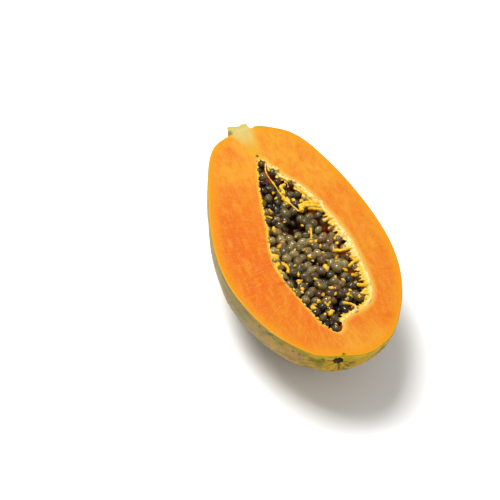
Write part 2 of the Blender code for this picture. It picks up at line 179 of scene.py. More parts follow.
class RoundForm:
    """A round form hanging under the cut plane: each section across it is half an ellipse."""

    # Places along Y at which its sides are looked up
    TABLE_SIZE = 3000

    def __init__(
        self,
        outline: Array,
        middle: tuple[float, float],
        depth_share: float,
        added_depth: float = 0.0,
        lean: float = 0.0,
        ridge_swell: float = 0.0,
        ridges: int = 5,
    ) -> None:
        """Set the form up from its outline in the cut plane.

        Args:
            outline: closed loop of x and y.
            middle: the point towards which its rings shrink.
            depth_share: depth of a section against half its width.
            added_depth: makes narrow sections deeper.
            lean: how much deeper the form gets along Y, per metre.
            ridge_swell: height of the ridges as a share of the depth.
            ridges: how many ridges run lengthwise.
        """
        self.outline = outline
        self.ahead = np.roll(outline, -1, axis=0)
        self.middle = np.array(middle)
        self.depth_share = depth_share
        self.added_depth = added_depth
        self.lean = lean
        self.ridge_swell = ridge_swell
        self.ridges = ridges
        low, high = outline[:, 1].min(), outline[:, 1].max()
        self.places = low + (high - low) * (1 - np.cos(np.linspace(0, math.pi, self.TABLE_SIZE))) / 2
        inner = np.clip(self.places, low + 1e-9, high - 1e-9)[:, None]
        cut = (self.outline[:, 1] <= inner) != (self.ahead[:, 1] <= inner)
        step = self.ahead - self.outline
        rise = np.where(step[:, 1] == 0, 1.0, step[:, 1])
        x = self.outline[:, 0] + step[:, 0] * (inner - self.outline[:, 1]) / rise
        self.left = np.where(cut, x, np.inf).min(1)
        self.right = np.where(cut, x, -np.inf).max(1)

    def section(self, y: Array) -> tuple[Array, Array]:
        """Look up the outline at places along Y.

        Args:
            y: the places.

        Returns:
            The middle and the half-width at each.
        """
        left, right = np.interp(y, self.places, self.left), np.interp(y, self.places, self.right)
        inside = (y > self.places[0]) & (y < self.places[-1])
        return (left + right) / 2 * inside, (right - left) / 2 * inside

    def fullness(self, half: Array) -> Array:
        """Work out how deep sections are against their half-widths.

        Args:
            half: their half-widths.

        Returns:
            The share for each; narrow sections are deeper than round.
        """
        if not self.added_depth:
            return self.depth_share + 0 * half
        return self.depth_share * (1 + self.added_depth / (half + self.added_depth))

    def depth(self, x: Array, y: Array) -> Array:
        """Work out how deep the wall is under points of the cut plane.

        Args:
            x: where they are.
            y: where they are.

        Returns:
            The depth under each.
        """
        middle, half = self.section(y)
        across = np.clip((x - middle) / np.maximum(half, 1e-9), -1, 1)
        ridge = self.ridge_swell * np.sin(self.ridges * np.arccos(across))
        round_part = np.sqrt(np.maximum(1 - across**2, 0))
        return self.fullness(half) * half * round_part * (1 + self.lean * y + ridge)

    def room(self, spots: Array) -> tuple[Array, Array]:
        """Measure how far points are inside the wall.

        Args:
            spots: rows of x, y and z, with z measured from the cut plane.

        Returns:
            The distance of each to the wall, negative outside, and the way inwards in plan.
        """
        x, y, z = spots.T
        middle, half = self.section(y)
        side = np.where(x >= middle, 1.0, -1.0)
        reach = np.hypot(x - middle, z / self.fullness(half))
        plan = np.stack([middle + side * reach, y], axis=1)
        along = self.ahead - self.outline
        arm = plan[:, None, :] - self.outline[None, :, :]
        share = np.clip((arm * along).sum(2) / (along**2).sum(1), 0, 1)
        away = arm - share[:, :, None] * along
        gaps = np.hypot(away[:, :, 0], away[:, :, 1])
        nearest = gaps.argmin(1)
        way = along[nearest]
        inward = np.stack([-way[:, 1], way[:, 0]], axis=1) / np.hypot(*way.T)[:, None]
        cut = (self.outline[:, 1] <= y[:, None]) != (self.ahead[:, 1] <= y[:, None])
        rise = np.where(along[:, 1] == 0, 1.0, along[:, 1])
        edges = self.outline[:, 0] + along[:, 0] * (y[:, None] - self.outline[:, 1]) / rise
        inside = (cut & (edges > plan[:, :1])).sum(1) % 2 == 1
        gap = gaps[np.arange(len(gaps)), nearest]
        return np.where(inside, gap, -gap), inward

    def matched_loop(self, count: int, low_x: float, high_x: float) -> Array:
        """Space points evenly round the outline, from its low end up the right and down the left.

        Args:
            count: how many points.
            low_x: where the loop starts at the low end of Y.
            high_x: where its half-way point is at the high end of Y.

        Returns:
            The points, one row each.
        """
        x, y = self.outline.T
        start = np.argmin(np.abs(x - low_x) + 9 * (y - y.min()))
        turned = np.roll(self.outline, -start, axis=0)
        x, y = turned.T
        top = np.argmin(np.abs(x - high_x) + 9 * (y.max() - y))
        loop = []
        for run in (turned[: top + 1], np.vstack([turned[top:], turned[:1]])):
            lengths = np.concatenate([[0], np.cumsum(np.hypot(*np.diff(run, axis=0).T))])
            spots = np.linspace(0, lengths[-1], count // 2, endpoint=False)
            loop.append(np.stack([np.interp(spots, lengths, side) for side in run.T], axis=1))
        return np.vstack(loop)


@dataclass
class MeshParts:
    """Points and faces of a piece while it is put together."""

    points: list[Array] = field(default_factory=list)
    faces: list[Array] = field(default_factory=list)
    slots: list[Array] = field(default_factory=list)
    values: dict[str, list[Array]] = field(default_factory=dict)
    count: int = 0

    def add(self, points: Array, faces: Array, slot: int | Array = 0, **values: Array | float) -> None:
        """Add one lump of mesh.

        Args:
            points: rows of x, y and z.
            faces: rows of four corners; a triangle repeats its last corner.
            slot: the finish of its faces, as one number or one for each face.
            values: a number, or one for each point, under the name of a mesh mark.
        """
        self.points.append(points)
        self.faces.append(faces + self.count)
        self.slots.append(np.broadcast_to(slot, (len(faces),)))
        self.count += len(points)
        for name, value in values.items():
            self.values.setdefault(name, []).append(np.broadcast_to(value, (len(points),)))

    def cap(
        self, centre: Array, start: int, around: int, flip: bool, slot: int = 0, **values: Array | float
    ) -> None:
        """Close a ring of points with triangles that meet in one new point.

        Args:
            centre: the new point.
            start: the number of the ring's first point.
            around: how many points the ring has.
            flip: whether the triangles turn the other way.
            slot: the finish of the triangles.
            values: the mesh marks of the new point.
        """
        self.add(centre[None], NO_FACES, slot, **values)
        fan = fan_faces(self.count - 1, start, around, flip)
        self.faces.append(fan)
        self.slots.append(np.full(around, slot))

    def build(self, name: str, lift: float = 0.0) -> bpy.types.Object:
        """Make the object.

        Args:
            name: its name in the scene.
            lift: how far it is raised.

        Returns:
            The object, smooth shaded and linked to the scene.
        """
        points, faces = np.vstack(self.points), np.vstack(self.faces)
        corners = [row[:3] if row[3] == row[2] else row for row in faces.tolist()]
        mesh = bpy.data.meshes.new(name)
        mesh.from_pydata((points + (0, 0, lift)).tolist(), [], corners)
        mesh.polygons.foreach_set("material_index", np.concatenate(self.slots).astype(np.int32))
        for key, parts in self.values.items():
            layer = mesh.attributes.new(key, "FLOAT", "POINT")
            layer.data.foreach_set("value", np.concatenate(parts).astype(np.float32))
        mesh.shade_smooth()
        mesh.update()
        made = bpy.data.objects.new(name, mesh)
        bpy.context.scene.collection.objects.link(made)
        return made


def grid_faces(rings: int, around: int, closed: bool = True) -> Array:
    """Quads between rings of points.

    Args:
        rings: how many rings.
        around: how many points each has.
        closed: whether the last point of a ring joins the first.

    Returns:
        Rows of four corners.
    """
    sides = around if closed else around - 1
    ring, place = np.meshgrid(np.arange(rings - 1), np.arange(sides), indexing="ij")
    ahead = (place + 1) % around
    first, second = ring * around, (ring + 1) * around
    quads = np.stack([first + place, first + ahead, second + ahead, second + place], axis=-1)
    return quads.reshape(-1, 4)


def fan_faces(centre: int, start: int, around: int, flip: bool = False) -> Array:
    """Triangles from a centre point to a ring of points.

    Args:
        centre: the number of the centre point.
        start: the number of the ring's first point.
        around: how many points the ring has.
        flip: whether the triangles turn the other way.

    Returns:
        Rows of four corners, the last one repeated.
    """
    place = np.arange(around)
    a, b = start + place, start + (place + 1) % around
    first, second = (b, a) if flip else (a, b)
    return np.stack([np.full(around, centre), first, second, second], axis=1)


def grid_normals(rings: Array) -> Array:
    """Unit normals of a grid of points.

    Args:
        rings: closed rings of points.

    Returns:
        The normal at each point.
    """
    along = np.gradient(rings, axis=0)
    around = np.roll(rings, -1, axis=1) - np.roll(rings, 1, axis=1)
    normal = np.cross(around, along)
    return normal / np.maximum(np.linalg.norm(normal, axis=2, keepdims=True), 1e-12)


@dataclass(frozen=True, kw_only=True)
class Pattern:
    """Where a colour shows: a value at each spot, turned into a share between two levels."""

    levels: tuple[float, float] | None = None
    shares: tuple[float, float] = (0.0, 1.0)
    # Another pattern, whose share is added to the value before it meets the levels
    swell: "Pattern | None" = None

    def value(self, tree: bpy.types.NodeTree) -> bpy.types.NodeSocket:
        """Add the nodes of the plain value; each kind of pattern has its own.

        Args:
            tree: the material's nodes.

        Returns:
            The socket of the value.
        """
        raise NotImplementedError

    def lay(self, tree: bpy.types.NodeTree) -> bpy.types.NodeSocket:
        """Add the pattern to a material.

        Args:
            tree: the material's nodes.

        Returns:
            The socket of its share, or of its plain value where it has no levels.
        """
        value = self.value(tree)
        if self.swell:
            value = add_node(tree, "ShaderNodeMath", {0: value, 1: self.swell.lay(tree)}).outputs[0]
        if self.levels is None:
            return value
        keys = ("Value", "From Min", "From Max", "To Min", "To Max")
        inputs = dict(zip(keys, (value, *self.levels, *self.shares)))
        return add_node(tree, "ShaderNodeMapRange", inputs).outputs[0]


@dataclass(frozen=True)
class Zone(Pattern):
    """A region that the mesh marks with a value at each point."""

    mark: str

    def value(self, tree: bpy.types.NodeTree) -> bpy.types.NodeSocket:
        """The value of the mark."""
        return add_node(tree, "ShaderNodeAttribute", attribute_name=self.mark).outputs["Fac"]


@dataclass(frozen=True)
class Grain(Pattern):
    """Soft irregular grains of a real size."""

    size_mm: float
    # How much longer a grain is along each axis
    stretch: tuple[float, float, float] = (1, 1, 1)
    # How many finer layers it has
    detail: float = 3.0
    # Marks of the mesh that give its coordinates, where they aren't the object's own
    along: tuple[str, ...] = ()

    def value(self, tree: bpy.types.NodeTree) -> bpy.types.NodeSocket:
        """Add noise whose grains have their real size.

        Args:
            tree: the material's nodes.

        Returns:
            The socket of the noise, about 0.3 to 0.7.
        """
        if self.along:
            marks = {place: Zone(mark).value(tree) for place, mark in enumerate(self.along)}
            places = add_node(tree, "ShaderNodeCombineXYZ", marks).outputs[0]
        else:
            places = add_node(tree, "ShaderNodeTexCoord").outputs["Object"]
        scale = tuple(1 / (self.size_mm * MM * share) for share in self.stretch)
        sized = add_node(tree, "ShaderNodeMapping", {"Vector": places, "Scale": scale}).outputs[0]
        inputs = {"Vector": sized, "Scale": 1.0, "Detail": self.detail}
        return add_node(tree, "ShaderNodeTexNoise", inputs).outputs[0]


@dataclass(frozen=True)
class Dots(Pattern):
    """Dots scattered at a real distance from each other."""

    apart_mm: float

    def value(self, tree: bpy.types.NodeTree) -> bpy.types.NodeSocket:
        """Add the distance to the nearest dot.

        Args:
            tree: the material's nodes.

        Returns:
            The socket of the distance, as a share of the spacing.
        """
        places = add_node(tree, "ShaderNodeTexCoord").outputs["Object"]
        inputs = {"Vector": places, "Scale": 1 / (self.apart_mm * MM)}
        return add_node(tree, "ShaderNodeTexVoronoi", inputs).outputs["Distance"]


@dataclass(frozen=True)
class Scatter:
    """How light sinks into wet tissue: its share, how far red, green and blue go, and the depth."""

    weight: float
    reach: tuple[float, float, float]
    depth_mm: float


@dataclass(frozen=True)
class Finish:
    """A finish that dresses a mesh: its colours, how it shines and its fine relief."""

    name: str
    roughness: float = 0.5
    ior: float = 1.45
    specular: float = 0.5
    scatter: Scatter | None = None
    relief: Grain | None = None
    relief_mm: float = 0.0

    def colour(self, tree: bpy.types.NodeTree) -> Any:
        """Paint the surface; each finish has its own way.

        Args:
            tree: the material's nodes.

        Returns:
            The socket of the colour, or one linear colour.
        """
        raise NotImplementedError

    def inputs(self, tree: bpy.types.NodeTree) -> dict[str, Any]:
        """Gather what the shader takes.

        Args:
            tree: the material's nodes.

        Returns:
            A value or a socket for each input of the shader.
        """
        taken = {
            "Base Color": self.colour(tree),
            "Roughness": self.roughness,
            "IOR": self.ior,
            "Specular IOR Level": self.specular,
        }
        if self.scatter:
            taken["Subsurface Weight"] = self.scatter.weight
            taken["Subsurface Radius"] = self.scatter.reach
            taken["Subsurface Scale"] = self.scatter.depth_mm * MM
        if self.relief:
            height = {"Height": self.relief.lay(tree), "Distance": self.relief_mm * MM, "Strength": 1.0}
            taken["Normal"] = add_node(tree, "ShaderNodeBump", height).outputs[0]
        return taken

    def build(self) -> bpy.types.Material:
        """Make the material."""
        made = bpy.data.materials.new(self.name)
        made.use_nodes = True
        tree = made.node_tree
        feed(tree, tree.nodes["Principled BSDF"], self.inputs(tree))
        return made

    @staticmethod
    def paint(tree: bpy.types.NodeTree, ground: str, *layers: tuple[Any, ...]) -> Any:
        """Lay colours over a ground, one after another.

        Args:
            tree: the material's nodes.
            ground: the sRGB hex value underneath.
            layers: for each one its colour, as sRGB hex or a socket, then its patterns; it shows
                where all of them do.

        Returns:
            The socket of the painted colour, or the linear ground where there are no layers.
        """
        painted: Any = linear(ground)
        for colour, first, *others in layers:
            share = first.lay(tree)
            for pattern in others:
                both = {0: share, 1: pattern.lay(tree)}
                share = add_node(tree, "ShaderNodeMath", both, operation="MULTIPLY").outputs[0]
            over = linear(colour) if isinstance(colour, str) else colour
            mixed = {0: share, 6: painted, 7: over}
            painted = add_node(tree, "ShaderNodeMix", mixed, data_type="RGBA").outputs[2]
        return painted


@dataclass(frozen=True)
class PeelFinish(Finish):
    """Ripe papaya peel, as it grew."""

    # A thin waxy skin: a dull sheen over gold that is still green and brown in streaks and flecks
    name: str = "papaya_peel"
    roughness: float = 0.45
    ior: float = 1.42
    specular: float = 0.15
    relief: Grain = Grain(1.6, (1, 2.2, 1), 4)
    relief_mm: float = 0.25
    ripe: str = "#AC8208"
    pale: str = "#A88332"
    dull: str = "#7F6A2E"
    rose: str = "#A07044"
    painted_shade: str = "#6C6844"
    # Painted shade: a darker olive-grey for the left of the skin, towards the blossom end
    end: str = "#B69000"
    unripe: str = "#6C6E12"
    streak: str = "#555E42"
    crust: str = "#4E400C"
    # Partly painted light: it brightens the shaded notch under the blossom-end rim
    glow: str = "#BEB018"
    fleck: str = "#343C16"

    def colour(self, tree: bpy.types.NodeTree) -> Any:
        """Lay the broad patches, then the streaks, the line under the rim and the flecks.

        Args:
            tree: the material's nodes.

        Returns:
            The socket of the colour.
        """
        return self.paint(
            tree,
            self.ripe,
            (self.pale, Grain(14, (1, 1.6, 1), levels=(0.40, 0.60))),
            (self.dull, Grain(7, (1, 2.4, 1), levels=(0.46, 0.64), shares=(0, 0.85))),
            (self.rose, Grain(10, (1, 1.8, 1), 4, levels=(0.54, 0.66), shares=(0, 0.7))),
            (self.ripe, Zone("gold")),
            # Painted shade over the left of the skin, towards the blossom end
            (self.painted_shade, Zone("grey")),
            (self.end, Zone("blossom", levels=(0.2, 0.8), shares=(0, 0.9))),
            (self.unripe, self.green_patches()),
            # Streaks run lengthwise, 1.5 to 3 mm wide and six times as long, up to the blossom end
            (
                self.streak,
                Grain(2.6, (1, 6, 1), 4, levels=(0.50, 0.64), shares=(0, 0.85)),
                Grain(16, (1, 1.6, 1), levels=(0.40, 0.56), shares=(0.15, 1)),
                Zone("blossom", levels=(0.2, 0.7), shares=(1, 0)),
            ),
            # There they run out from the scar, 1 to 2 mm wide
            (
                self.crust,
                Grain(2.0, (1, 1, 4), 4, ("ray_x", "ray_z", "far"), levels=(0.50, 0.62), shares=(0, 0.8)),
                Grain(6, levels=(0.36, 0.52)),
                Zone("blossom", levels=(0.1, 0.5)),
            ),
            # A bright broken line, 1 to 3 mm wide, under the rim of the blossom end: partly the peel's own
            # yellow there, partly painted light that brightens the shaded notch
            (
                self.glow,
                Zone("drop", levels=(0.8 * MM, 3.4 * MM), shares=(0.9, 0)),
                Zone("blossom"),
                Grain(5, levels=(0.35, 0.60), shares=(0.3, 1)),
            ),
            (self.fleck, self.flecks(), Grain(7, (1, 1.5, 1), levels=(0.42, 0.58), shares=(0.1, 1))),
        )

    @staticmethod
    def green_patches() -> Pattern:
        """Unripe patches about 9 mm wide, with more of them at the blossom end."""
        more = Zone("blossom", levels=(0, 1), shares=(0, 0.10))
        return Grain(9, (1, 1.7, 1), 4, levels=(0.58, 0.70), shares=(0, 0.85), swell=more)

    @staticmethod
    def flecks() -> Pattern:
        """Uneven flecks, 1 to 1.7 mm wide and 3 to 5 mm apart."""
        uneven = Grain(1.2, levels=(0.3, 0.7), shares=(-0.09, 0.09))
        return Dots(3.6, levels=(0.18, 0.32), shares=(0.8, 0), swell=uneven)


@dataclass(frozen=True)
class FleshFinish(Finish):
    """Ripe papaya flesh, cut with a knife."""

    # Wet and juicy, so light sinks in a little, and the mottled orange has a soft broken shine
    name: str = "papaya_flesh"
    roughness: float = 0.36
    ior: float = 1.36
    specular: float = 0.35
    scatter: Scatter = Scatter(0.15, (1.0, 0.45, 0.15), 1.6)
    # The cells are 0.2 mm wide, and their grain is drawn at 1 mm so that it shows
    relief: Grain = Grain(1.0, (1, 1, 3), 4, ("spread_x", "spread_y", "edge"))
    relief_mm: float = 0.16
    main: str = "#C16804"
    red: str = "#C05402"
    light: str = "#C68A1E"
    speck: str = "#C88248"
    outer: str = "#C77E02"
    rim: str = "#C58504"
    peel: str = "#9A8212"
    core: str = "#C08E20"
    pith: str = "#B8A25C"
    # Cream of the band along the mouth, partly a painted highlight
    mouth: str = "#C89A3C"
    bruise: str = "#B83C04"
    dot: str = "#3A1C08"

    def colour(self, tree: bpy.types.NodeTree) -> Any:
        """Lay the mottling, the vessels, the core at the stalk and the lines under the peel.

        Args:
            tree: the material's nodes.

        Returns:
            The socket of the colour.
        """
        # Strands of the core, 0.3 mm wide and drawn at 1 mm so that they show
        fibres = Grain(1.0, (1, 9, 1), levels=(0.35, 0.65), shares=(0.8, 1.1))
        off_core = Zone("core", levels=(0.1, 0.6), shares=(1, 0))
        return self.paint(
            tree,
            self.main,
            (self.light, Zone("light")),
            (self.red, Zone("red")),
            (self.red, Grain(13, (1, 1.8, 1), levels=(0.42, 0.68), shares=(0, 0.65))),
            (self.red, Grain(2.8, (1, 1.9, 1), 4, levels=(0.46, 0.70), shares=(0, 0.5))),
            (self.light, Grain(4.2, (1, 2.6, 1), 4, levels=(0.50, 0.72), shares=(0, 0.45))),
            # Fibres from the peel to the mouth, drawn 1.2 mm wide so that they show
            (
                self.light,
                Grain(
                    1.2, (1, 1, 7), 2, ("spread_x", "spread_y", "edge"), levels=(0.48, 0.72), shares=(0, 0.3)
                ),
            ),
            (self.speck, Grain(1.1, (1, 1.3, 1), 2, levels=(0.58, 0.74), shares=(0, 0.7))),
            # Paler vessels run lengthwise, about 8 mm long and drawn 1 mm wide so that they show
            (self.speck, Grain(1.0, (1, 8, 1), levels=(0.54, 0.76), shares=(0, 0.34))),
            (self.outer, Zone("edge", levels=(1.2 * MM, 6.5 * MM), shares=(0.85, 0))),
            # A cream band in the flesh along the mouth, wider on the right: partly paler flesh there, partly
            # a painted highlight on the wet edge
            (self.mouth, Zone("mouth", levels=(0.4 * MM, 3.4 * MM), shares=(0.95, 0))),
            (self.core, Zone("core"), fibres),
            (self.pith, Zone("pith"), fibres),
            (self.rim, Zone("seam"), fibres),
            (self.bruise, Zone("bruise"), fibres),
            (self.dot, Zone("dot"), fibres),
            (self.rim, Zone("edge", levels=(0.6 * MM, 1.4 * MM), shares=(1, 0)), off_core),
            (self.peel, Zone("edge", levels=(0.2 * MM, 0.5 * MM), shares=(1, 0)), off_core),
        )


@dataclass(frozen=True)
class CavityWallFinish(Finish):
    """Inner flesh of a papaya, the grown wall of the seed cavity."""

    # Wet and smooth, and a deeper red-orange than the cut flesh, so it glows between the seeds
    name: str = "papaya_cavity_wall"
    roughness: float = 0.3
    ior: float = 1.38
    relief: Grain = Grain(0.9)
    relief_mm: float = 0.25
    deep: str = "#862404"
    orange: str = "#AE4806"
    yellow: str = "#C2860E"

    def colour(self, tree: bpy.types.NodeTree) -> Any:
        """Lay orange patches on red-brown, and a yellow band at the mouth.

        Args:
            tree: the material's nodes.

        Returns:
            The socket of the colour.
        """
        return self.paint(
            tree,
            self.deep,
            (self.orange, Grain(3.0, levels=(0.40, 0.62))),
            (self.yellow, Zone("drop", levels=(0.4 * MM, 1.8 * MM), shares=(1, 0))),
        )


@dataclass(frozen=True)
class PulpFinish(Finish):
    """Placenta of a ripe papaya, torn by the knife."""

    # Wet fibrous pulp: glossy, and bright where light shines into its thin edges
    name: str = "papaya_placenta"
    roughness: float = 0.3
    ior: float = 1.38
    scatter: Scatter = Scatter(0.2, (1.0, 0.7, 0.2), 1.2)
    # Its fibres are 0.1 to 0.2 mm thick, and are drawn at 0.6 mm so that they show
    relief: Grain = Grain(0.6)
    relief_mm: float = 0.15
    yellow: str = "#D6A406"
    cream: str = "#DCC78A"
    orange: str = "#A9540A"

    def colour(self, tree: bpy.types.NodeTree) -> Any:
        """Lay cream mottling and a ragged cream wall on yellow, and orange deep in the cavity.

        Args:
            tree: the material's nodes.

        Returns:
            The socket of the colour.
        """
        return self.paint(
            tree,
            self.yellow,
            (self.cream, Grain(2.0, levels=(0.52, 0.70), shares=(0, 0.6))),
            (self.cream, Zone("pale"), Grain(1.4, levels=(0.35, 0.6))),
            (self.orange, Zone("deep", levels=(0, 1), shares=(0, 0.8))),
        )


@dataclass(frozen=True)
class SeedCoatFinish(Finish):
    """Seed coat of a papaya, hard and wrinkled as it grew."""

    # Near-black with brown ridges, and only a low gloss of its own under the jelly
    name: str = "papaya_seed_coat"
    roughness: float = 0.35
    relief: Grain = Grain(0.6)
    relief_mm: float = 0.2
    dark: str = "#120C08"
    brown: str = "#2E2014"

    def colour(self, tree: bpy.types.NodeTree) -> Any:
        """Brown wrinkles, 0.7 mm apart, on a near-black coat."""
        return self.paint(tree, self.dark, (self.brown, Grain(0.7, levels=(0.42, 0.62))))


@dataclass(frozen=True)
class SeedSacFinish(Finish):
    """Aril of a papaya seed: a grown sac of clear jelly."""

    # Wet and see-through: the dark seed shows in it, under small sharp highlights
    name: str = "papaya_seed_jelly"
    roughness: float = 0.12
    ior: float = 1.40
    relief: Grain = Grain(1.2, detail=2)
    relief_mm: float = 0.06
    coat_ior: float = 1.5
    coat_roughness: float = 0.08
    dark: str = "#1C140B"
    olive: str = "#C8AF6C"
    amber: str = "#93500C"

    def colour(self, tree: bpy.types.NodeTree) -> Any:
        """Grey-olive jelly, darker on some seeds, darkest on the lower layers as painted shade, and amber
        where light shines through.
        """
        return self.paint(tree, self.dark, (self.olive, Zone("tone")), (self.amber, Zone("warm")))

    def inputs(self, tree: bpy.types.NodeTree) -> dict[str, Any]:
        """Add the clear jelly and its wet coat.

        Args:
            tree: the material's nodes.

        Returns:
            A value or a socket for each input of the shader.
        """
        veil = Grain(1.1, detail=2, levels=(0.35, 0.65), shares=(0.14, 0.38)).lay(tree)
        # The jelly is thicker on the paler seeds
        thick = Zone("tone", levels=(0, 1), shares=(0, 0.20)).lay(tree)
        return super().inputs(tree) | {
            "Alpha": add_node(tree, "ShaderNodeMath", {0: veil, 1: thick}).outputs[0],
            "Coat Weight": Zone("wet").lay(tree),
            "Coat IOR": self.coat_ior,
            "Coat Roughness": self.coat_roughness,
        }


@dataclass(frozen=True)
class StalkFinish(Finish):
    """Stalk of a papaya, cut and then dried a little in air."""

    # Matt plant tissue: pale stringy pith in the cut, and a yellow-green rind, brown low on its left by the
    # foot, partly dried rind and partly painted shade
    name: str = "papaya_stalk"
    relief: Grain = Grain(0.7, (1, 7, 1))
    relief_mm: float = 0.2
    pith: str = "#B8A462"
    pale: str = "#A89C48"
    green: str = "#9A9A2C"
    # Brown low on the left by the foot, partly painted shade
    brown: str = "#6B5416"

    def colour(self, tree: bpy.types.NodeTree) -> Any:
        """Lay green strings on the rind, then the pith of the cut and the brown foot, which is partly
        painted shade.

        Args:
            tree: the material's nodes.

        Returns:
            The socket of the colour.
        """
        soft = Grain(1.6, (1, 2, 1), levels=(0.45, 0.70), shares=(0, 0.5))
        pith = self.paint(tree, self.pith, (self.pale, soft))
        # Strings of the rind, about 1 mm wide
        strings = Grain(1.0, (1, 5, 1), levels=(0.40, 0.62))
        return self.paint(
            tree, self.pale, (self.green, strings), (pith, Zone("cut")), (self.brown, Zone("foot"))
        )


@dataclass(frozen=True)
class ScarFinish(Finish):
    """Cork of the blossom scar, dried on the fruit."""

    # Crumbly and without gloss: brown-black with a few whitish specks
    name: str = "blossom_scar_cork"
    roughness: float = 0.8
    specular: float = 0.2
    # The crumbs are 0.2 mm wide, and are drawn at 0.5 to 0.8 mm so that they show
    relief: Grain = Grain(0.5)
    relief_mm: float = 0.3
    dark: str = "#1C140C"
    brown: str = "#38260F"
    speck: str = "#BBAE93"

    def colour(self, tree: bpy.types.NodeTree) -> Any:
        """Lay brown crumbs and pale specks on near-black.

        Args:
            tree: the material's nodes.

        Returns:
            The socket of the colour.
        """
        return self.paint(
            tree,
            self.dark,
            (self.brown, Grain(0.8, levels=(0.40, 0.62))),
            (self.speck, Grain(0.6, detail=1, levels=(0.68, 0.74))),
        )


@dataclass(frozen=True)
class TableFinish(Finish):
    """Sprayed matt lacquer on a white table top."""

    # Even and without gloss, so that only the shadow shows on it
    name: str = "white_table_lacquer"
    roughness: float = 0.9
    white: str = "#F4F4F3"

    def colour(self, tree: bpy.types.NodeTree) -> Any:
        """One even white."""
        return self.paint(tree, self.white)


